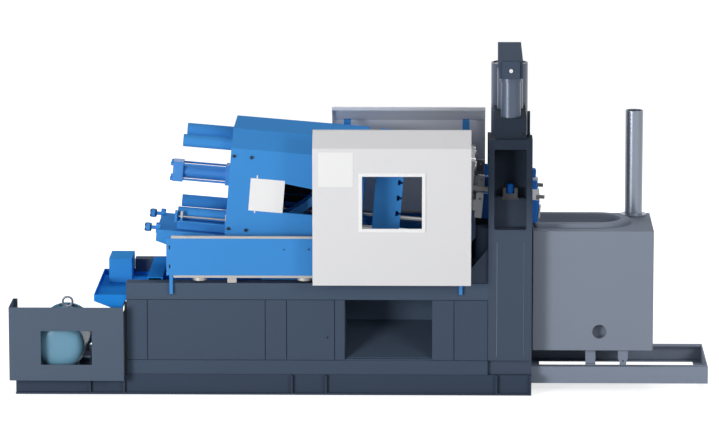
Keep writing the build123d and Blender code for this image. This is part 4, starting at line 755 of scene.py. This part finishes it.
hood_rows = [(tuple(clamp_point(along, hood_face, up)), tuple(NEAR), HOOD_SCREW_WIDE)
             for along in (-0.770, -0.664, -0.010) for up in (0.175, -0.270)]
screws("hood_screws", both_sides(hood_rows), "machine", screw_steel)
panel_rows = [((-0.303, panel_face, 0.896), tuple(NEAR), 0.009),
              ((-0.452, panel_face, 0.895), tuple(NEAR), 0.007)]
screws("panel_screws", both_sides(panel_rows), "machine", screw_steel)
screws("head_block_screw", [((0.973, BLOCK_FACE, 1.589), tuple(NEAR), 0.016)],
       "machine", screw_steel)
flange_rows = []
for rise in (-0.015, 0.015):
    for shift in (-0.014, 0.014):
        left = clamp_point(FLANGE_AT, -FLANGE_SIDE + shift, FLANGE_UP + rise)
        right = clamp_point(FLANGE_AT + FLANGE_DEEP, -FLANGE_SIDE + shift, FLANGE_UP + rise)
        flange_rows += [(tuple(left), tuple(BACK_ALONG), 0.014), (tuple(right), tuple(ALONG), 0.014)]
screws("flange_screws", both_sides(flange_rows), "machine", screw_steel)

# %% [markdown]
# The clamp cylinder is a tie-rod cylinder: four long rods squeeze the tube between two square caps,
# and a nut on each rod end holds them. The motor's end ring is screwed on all round.

# %% Nuts of the clamp cylinder and the motor
CAP_AT, TIE = -1.145, 0.046
tie_rows = [(tuple(clamp_point(CAP_AT, across, up)), tuple(BACK_ALONG), 0.026)
            for across in (-TIE, TIE) for up in (-TIE, TIE)]
screws("cylinder_nuts", tie_rows, "machine", blue, sides=6, height=0.5, recess=0.05)
MOTOR_X, MOTOR_Z, RING_Y, RING_R, RING_SCREWS = -1.812, 0.287, 0.098, 0.1575, 12
motor_rows = []
for count in range(RING_SCREWS):
    angle = math.radians((count + 0.5) * 360 / RING_SCREWS)
    place = (MOTOR_X + RING_R * math.cos(angle), RING_Y, MOTOR_Z + RING_R * math.sin(angle))
    motor_rows.append((place, tuple(NEAR), 0.012))
screws("motor_ring_screws", motor_rows, "machine", screw_steel,
       sides=6, height=0.6, recess=0.02)

# %% [markdown]
# The door and the hood each carry a square plate. Both stay bare here. A plate is a thin slab with
# small round corners: its outline is drawn once, given a thickness, and its front edge broken.

# %% Bare plates
def round_outline(width, height, corner, steps=5):
    points = []
    for cx, cz, start in ((1, 1, 0), (-1, 1, 90), (-1, -1, 180), (1, -1, 270)):
        for count in range(steps + 1):
            angle = math.radians(start + 90 * count / steps)
            points.append((cx * (width / 2 - corner) + corner * math.cos(angle),
                           cz * (height / 2 - corner) + corner * math.sin(angle)))
    return points


def thin_plate(name, place, width, height, thick, corner, edge):
    """A slab in the plane of X and Z, with its back on the plane Y = 0 of place."""
    form = bmesh.new()
    outline = round_outline(width, height, corner)
    inner = round_outline(width - 2 * edge, height - 2 * edge, max(corner - edge, 0.0002))
    rings = [[form.verts.new((x, 0, z)) for x, z in outline],
             [form.verts.new((x, -thick + edge, z)) for x, z in outline],
             [form.verts.new((x, -thick, z)) for x, z in inner]]
    count = len(outline)
    for low, high in zip(rings[:-1], rings[1:]):
        for i in range(count):
            form.faces.new((low[i], low[(i + 1) % count], high[(i + 1) % count], high[i]))
    form.faces.new(rings[0])
    form.faces.new(rings[-1])
    bmesh.ops.transform(form, matrix=place, verts=form.verts)
    return mesh_from(name, form)


door_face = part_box("front_door")[0][1]
door_plate = thin_plate("door_plate", Matrix.Translation((-0.136, door_face, 1.4005)),
                        0.209, 0.211, 0.002, 0.003, 0.0006)
finished("door_plate", door_plate, "front_door", plate_white)
strap_place = CLAMP @ Matrix.Translation((-0.6205, hood_face, -0.046))
strap = thin_plate("plate_strap", strap_place, 0.008, 0.232, 0.0022, 0.002, 0.0006)
finished("plate_strap", strap, "machine", plate_white)
print("door plate on Y", round(door_face, 3), "and strap behind the hood plate on Y", round(hood_face, 3))

# %% [markdown]
# Down the front of the tower runs a bead where a cover strip was welded on, and a finer one beside it.
# Both are paler than the tower: a painted highlight along the seams. A bead is a half-sunk rod: a short
# curve with a round section, made a mesh.

# %% Weld beads on the tower
def rod(name, points, radius, body, material, sides=4):
    line = bpy.data.curves.new(name, "CURVE")
    line.dimensions = "3D"
    line.bevel_depth = radius
    line.bevel_resolution = sides
    line.use_fill_caps = True
    spline = line.splines.new("POLY")
    spline.points.add(len(points) - 1)
    for point, place in zip(spline.points, points):
        point.co = (*place, 1.0)
    maker = bpy.data.objects.new(name + "_maker", line)
    bpy.context.scene.collection.objects.link(maker)
    bpy.context.view_layer.update()
    mesh = bpy.data.meshes.new_from_object(maker.evaluated_get(bpy.context.evaluated_depsgraph_get()))
    mesh.name = name
    bpy.data.objects.remove(maker)
    bpy.data.curves.remove(line)
    for face in mesh.polygons:
        face.use_smooth = True
    return finished(name, mesh, body, material)


BEAD_LOW, BEAD_HIGH = 0.235, 0.935
tower_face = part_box("tower")[0][1]
for side, word in ((1, "near"), (-1, "far")):
    y = side * tower_face
    for kind, x, radius in (("bead", 0.830, 0.0026), ("line", 0.991, 0.0012)):
        rod("tower_" + kind + "_" + word, [(x, y, BEAD_LOW), (x, y, BEAD_HIGH)], radius,
            "machine", bead_highlight_slate)
print("beads on both faces of the tower, at Y", round(tower_face, 3))

# %% [markdown]
# The tall tube behind the head is closed by a pale plate, less than a finger's breadth below its rim.
# A dished round plate is turned: its section is drawn from the middle out and spun round.

# %% Plate in the tall tube
def turned(name, section, centre, steps=48):
    form = bmesh.new()
    rings = []
    for radius, high in section:
        if radius < 1e-6:
            rings.append([form.verts.new((centre[0], centre[1], centre[2] + high))])
            continue
        ring = []
        for count in range(steps):
            angle = 2 * math.pi * count / steps
            ring.append(form.verts.new((centre[0] + radius * math.cos(angle),
                                        centre[1] + radius * math.sin(angle), centre[2] + high)))
        rings.append(ring)
    for low, high in zip(rings[:-1], rings[1:]):
        for i in range(steps):
            j = (i + 1) % steps
            if len(low) == 1:
                form.faces.new((low[0], high[i], high[j]))
            elif len(high) == 1:
                form.faces.new((low[i], high[0], low[j]))
            else:
                form.faces.new((low[i], high[i], high[j], low[j]))
    return mesh_from(name, form, smooth=True)


TUBE_WALL, LID_DEEP = 0.0098, 0.008
tube_low, tube_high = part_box("accumulator_tube")
tube_middle = [(a + b) / 2 for a, b in zip(tube_low, tube_high)]
tube_inside = (tube_high[0] - tube_low[0]) / 2 - TUBE_WALL
section = [(0, 0.004), (tube_inside * 0.7, 0.003), (tube_inside * 0.97, 0), (tube_inside, 0.003),
           (tube_inside, -0.010), (tube_inside * 0.95, -0.012), (0, -0.012)]
lid = turned("tube_lid", section, (tube_middle[0], tube_middle[1], tube_high[2] - LID_DEEP))
finished("tube_lid", lid, "machine", door_grey)
print("lid", round(tube_inside * 2000), "mm across in the tall tube")

# %% [markdown]
# Through the hood's near slot the photograph shows only black beyond the links. The far wall here has a
# slot too, so a thin dark sheet lies against the inner side of that wall and shuts the view out. The
# sheet is painted shade: a dark piece that stands in for the shade inside the hood.

# %% Dark sheet of painted shade behind the far slot
HOOD_SHEET = 0.0062
far_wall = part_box("clamp_hood")[1][1]
sheet_place = CLAMP @ Matrix.Translation((-0.345, far_wall - HOOD_SHEET, -0.050))
shade_sheet = thin_plate("slot_shade_sheet", sheet_place, 0.60, 0.30, 0.0025, 0.012, 0.0008)
finished("slot_shade_sheet", shade_sheet, "machine", link_black)
print("inner sheet 600 by 300 mm")

# %% [markdown]
# A pale sight strip stands on the right of the tall tube, beside the pipe.

# %% Sight strip
strip_place = Matrix.Translation((1.008, tube_middle[1] - 0.056, 1.652))
strip = thin_plate("sight_strip", strip_place, 0.011, 0.072, 0.006, 0.002, 0.001)
finished("sight_strip", strip, "machine", milled_steel)
print("sight strip 72 mm high")

# %% [markdown]
# The panels have two narrow slots in their folded left ends, and the photograph shows black in them. A
# dark strip lies against each panel's inner side and stands in for the shade behind the slots: painted
# shade. A ray along Y measures where that side is: it hits the outer face first, and its second hit is
# the inner face.

# %% Dark strips of painted shade behind the panel's slots
def side_of(node, along, up, hit=1):
    panel, start = nodes[node], Vector((along, -2.0, up))
    for count in range(hit):
        found, point, normal, face = panel.ray_cast(start, Vector((0, 1, 0)))
        start = point + Vector((0, 0.0002, 0))
    return point.y


inner_side = side_of("rail_panels", -1.100, 0.845, 2)
for name, across in (("slot_shade_strip_front", inner_side + 0.002), ("slot_shade_strip_rear", -inner_side)):
    place = Matrix.Translation((-1.1415, across, 0.843))
    finished(name, thin_plate(name, place, 0.022, 0.150, 0.002, 0.003, 0.0005),
             "machine", link_black)
print("panel inner side at Y", round(inner_side, 4))

# %% [markdown]
# The head's pin ends in a small bright round cap on the front of the hub.

# %% Hub cap
hub_face = side_of("head_beam", 0.9085, 1.979)
cap_place = Matrix.Translation((0.9085, hub_face, 1.979))
finished("hub_cap", thin_plate("hub_cap", cap_place, 0.024, 0.024, 0.0016, 0.0118, 0.0006),
         "machine", plate_white)
print("hub face at Y", round(hub_face, 4))

# %% [markdown]
# A narrow dark strip closes the gap of 13 mm between the motor's guard plate and the end of the base,
# where the photograph shows one unbroken dark line. The strip is painted shade: a dark piece that stands
# in for the shade in that gap.

# %% Guard strip of painted shade
gap_left, gap_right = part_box("motor_guard")[1][0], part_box("base_body")[0][0]
strip_place = Matrix.Translation(((gap_left + gap_right) / 2, -0.405, 0.345))
SLACK = 0.0006
guard_shade_strip = thin_plate("guard_shade_strip", strip_place, gap_right - gap_left - SLACK, 0.44, 0.02,
                         0.002, 0.0005)
finished("guard_shade_strip", guard_shade_strip, "machine", link_black)
print("guard strip", round(1000 * (gap_right - gap_left), 1), "mm wide")
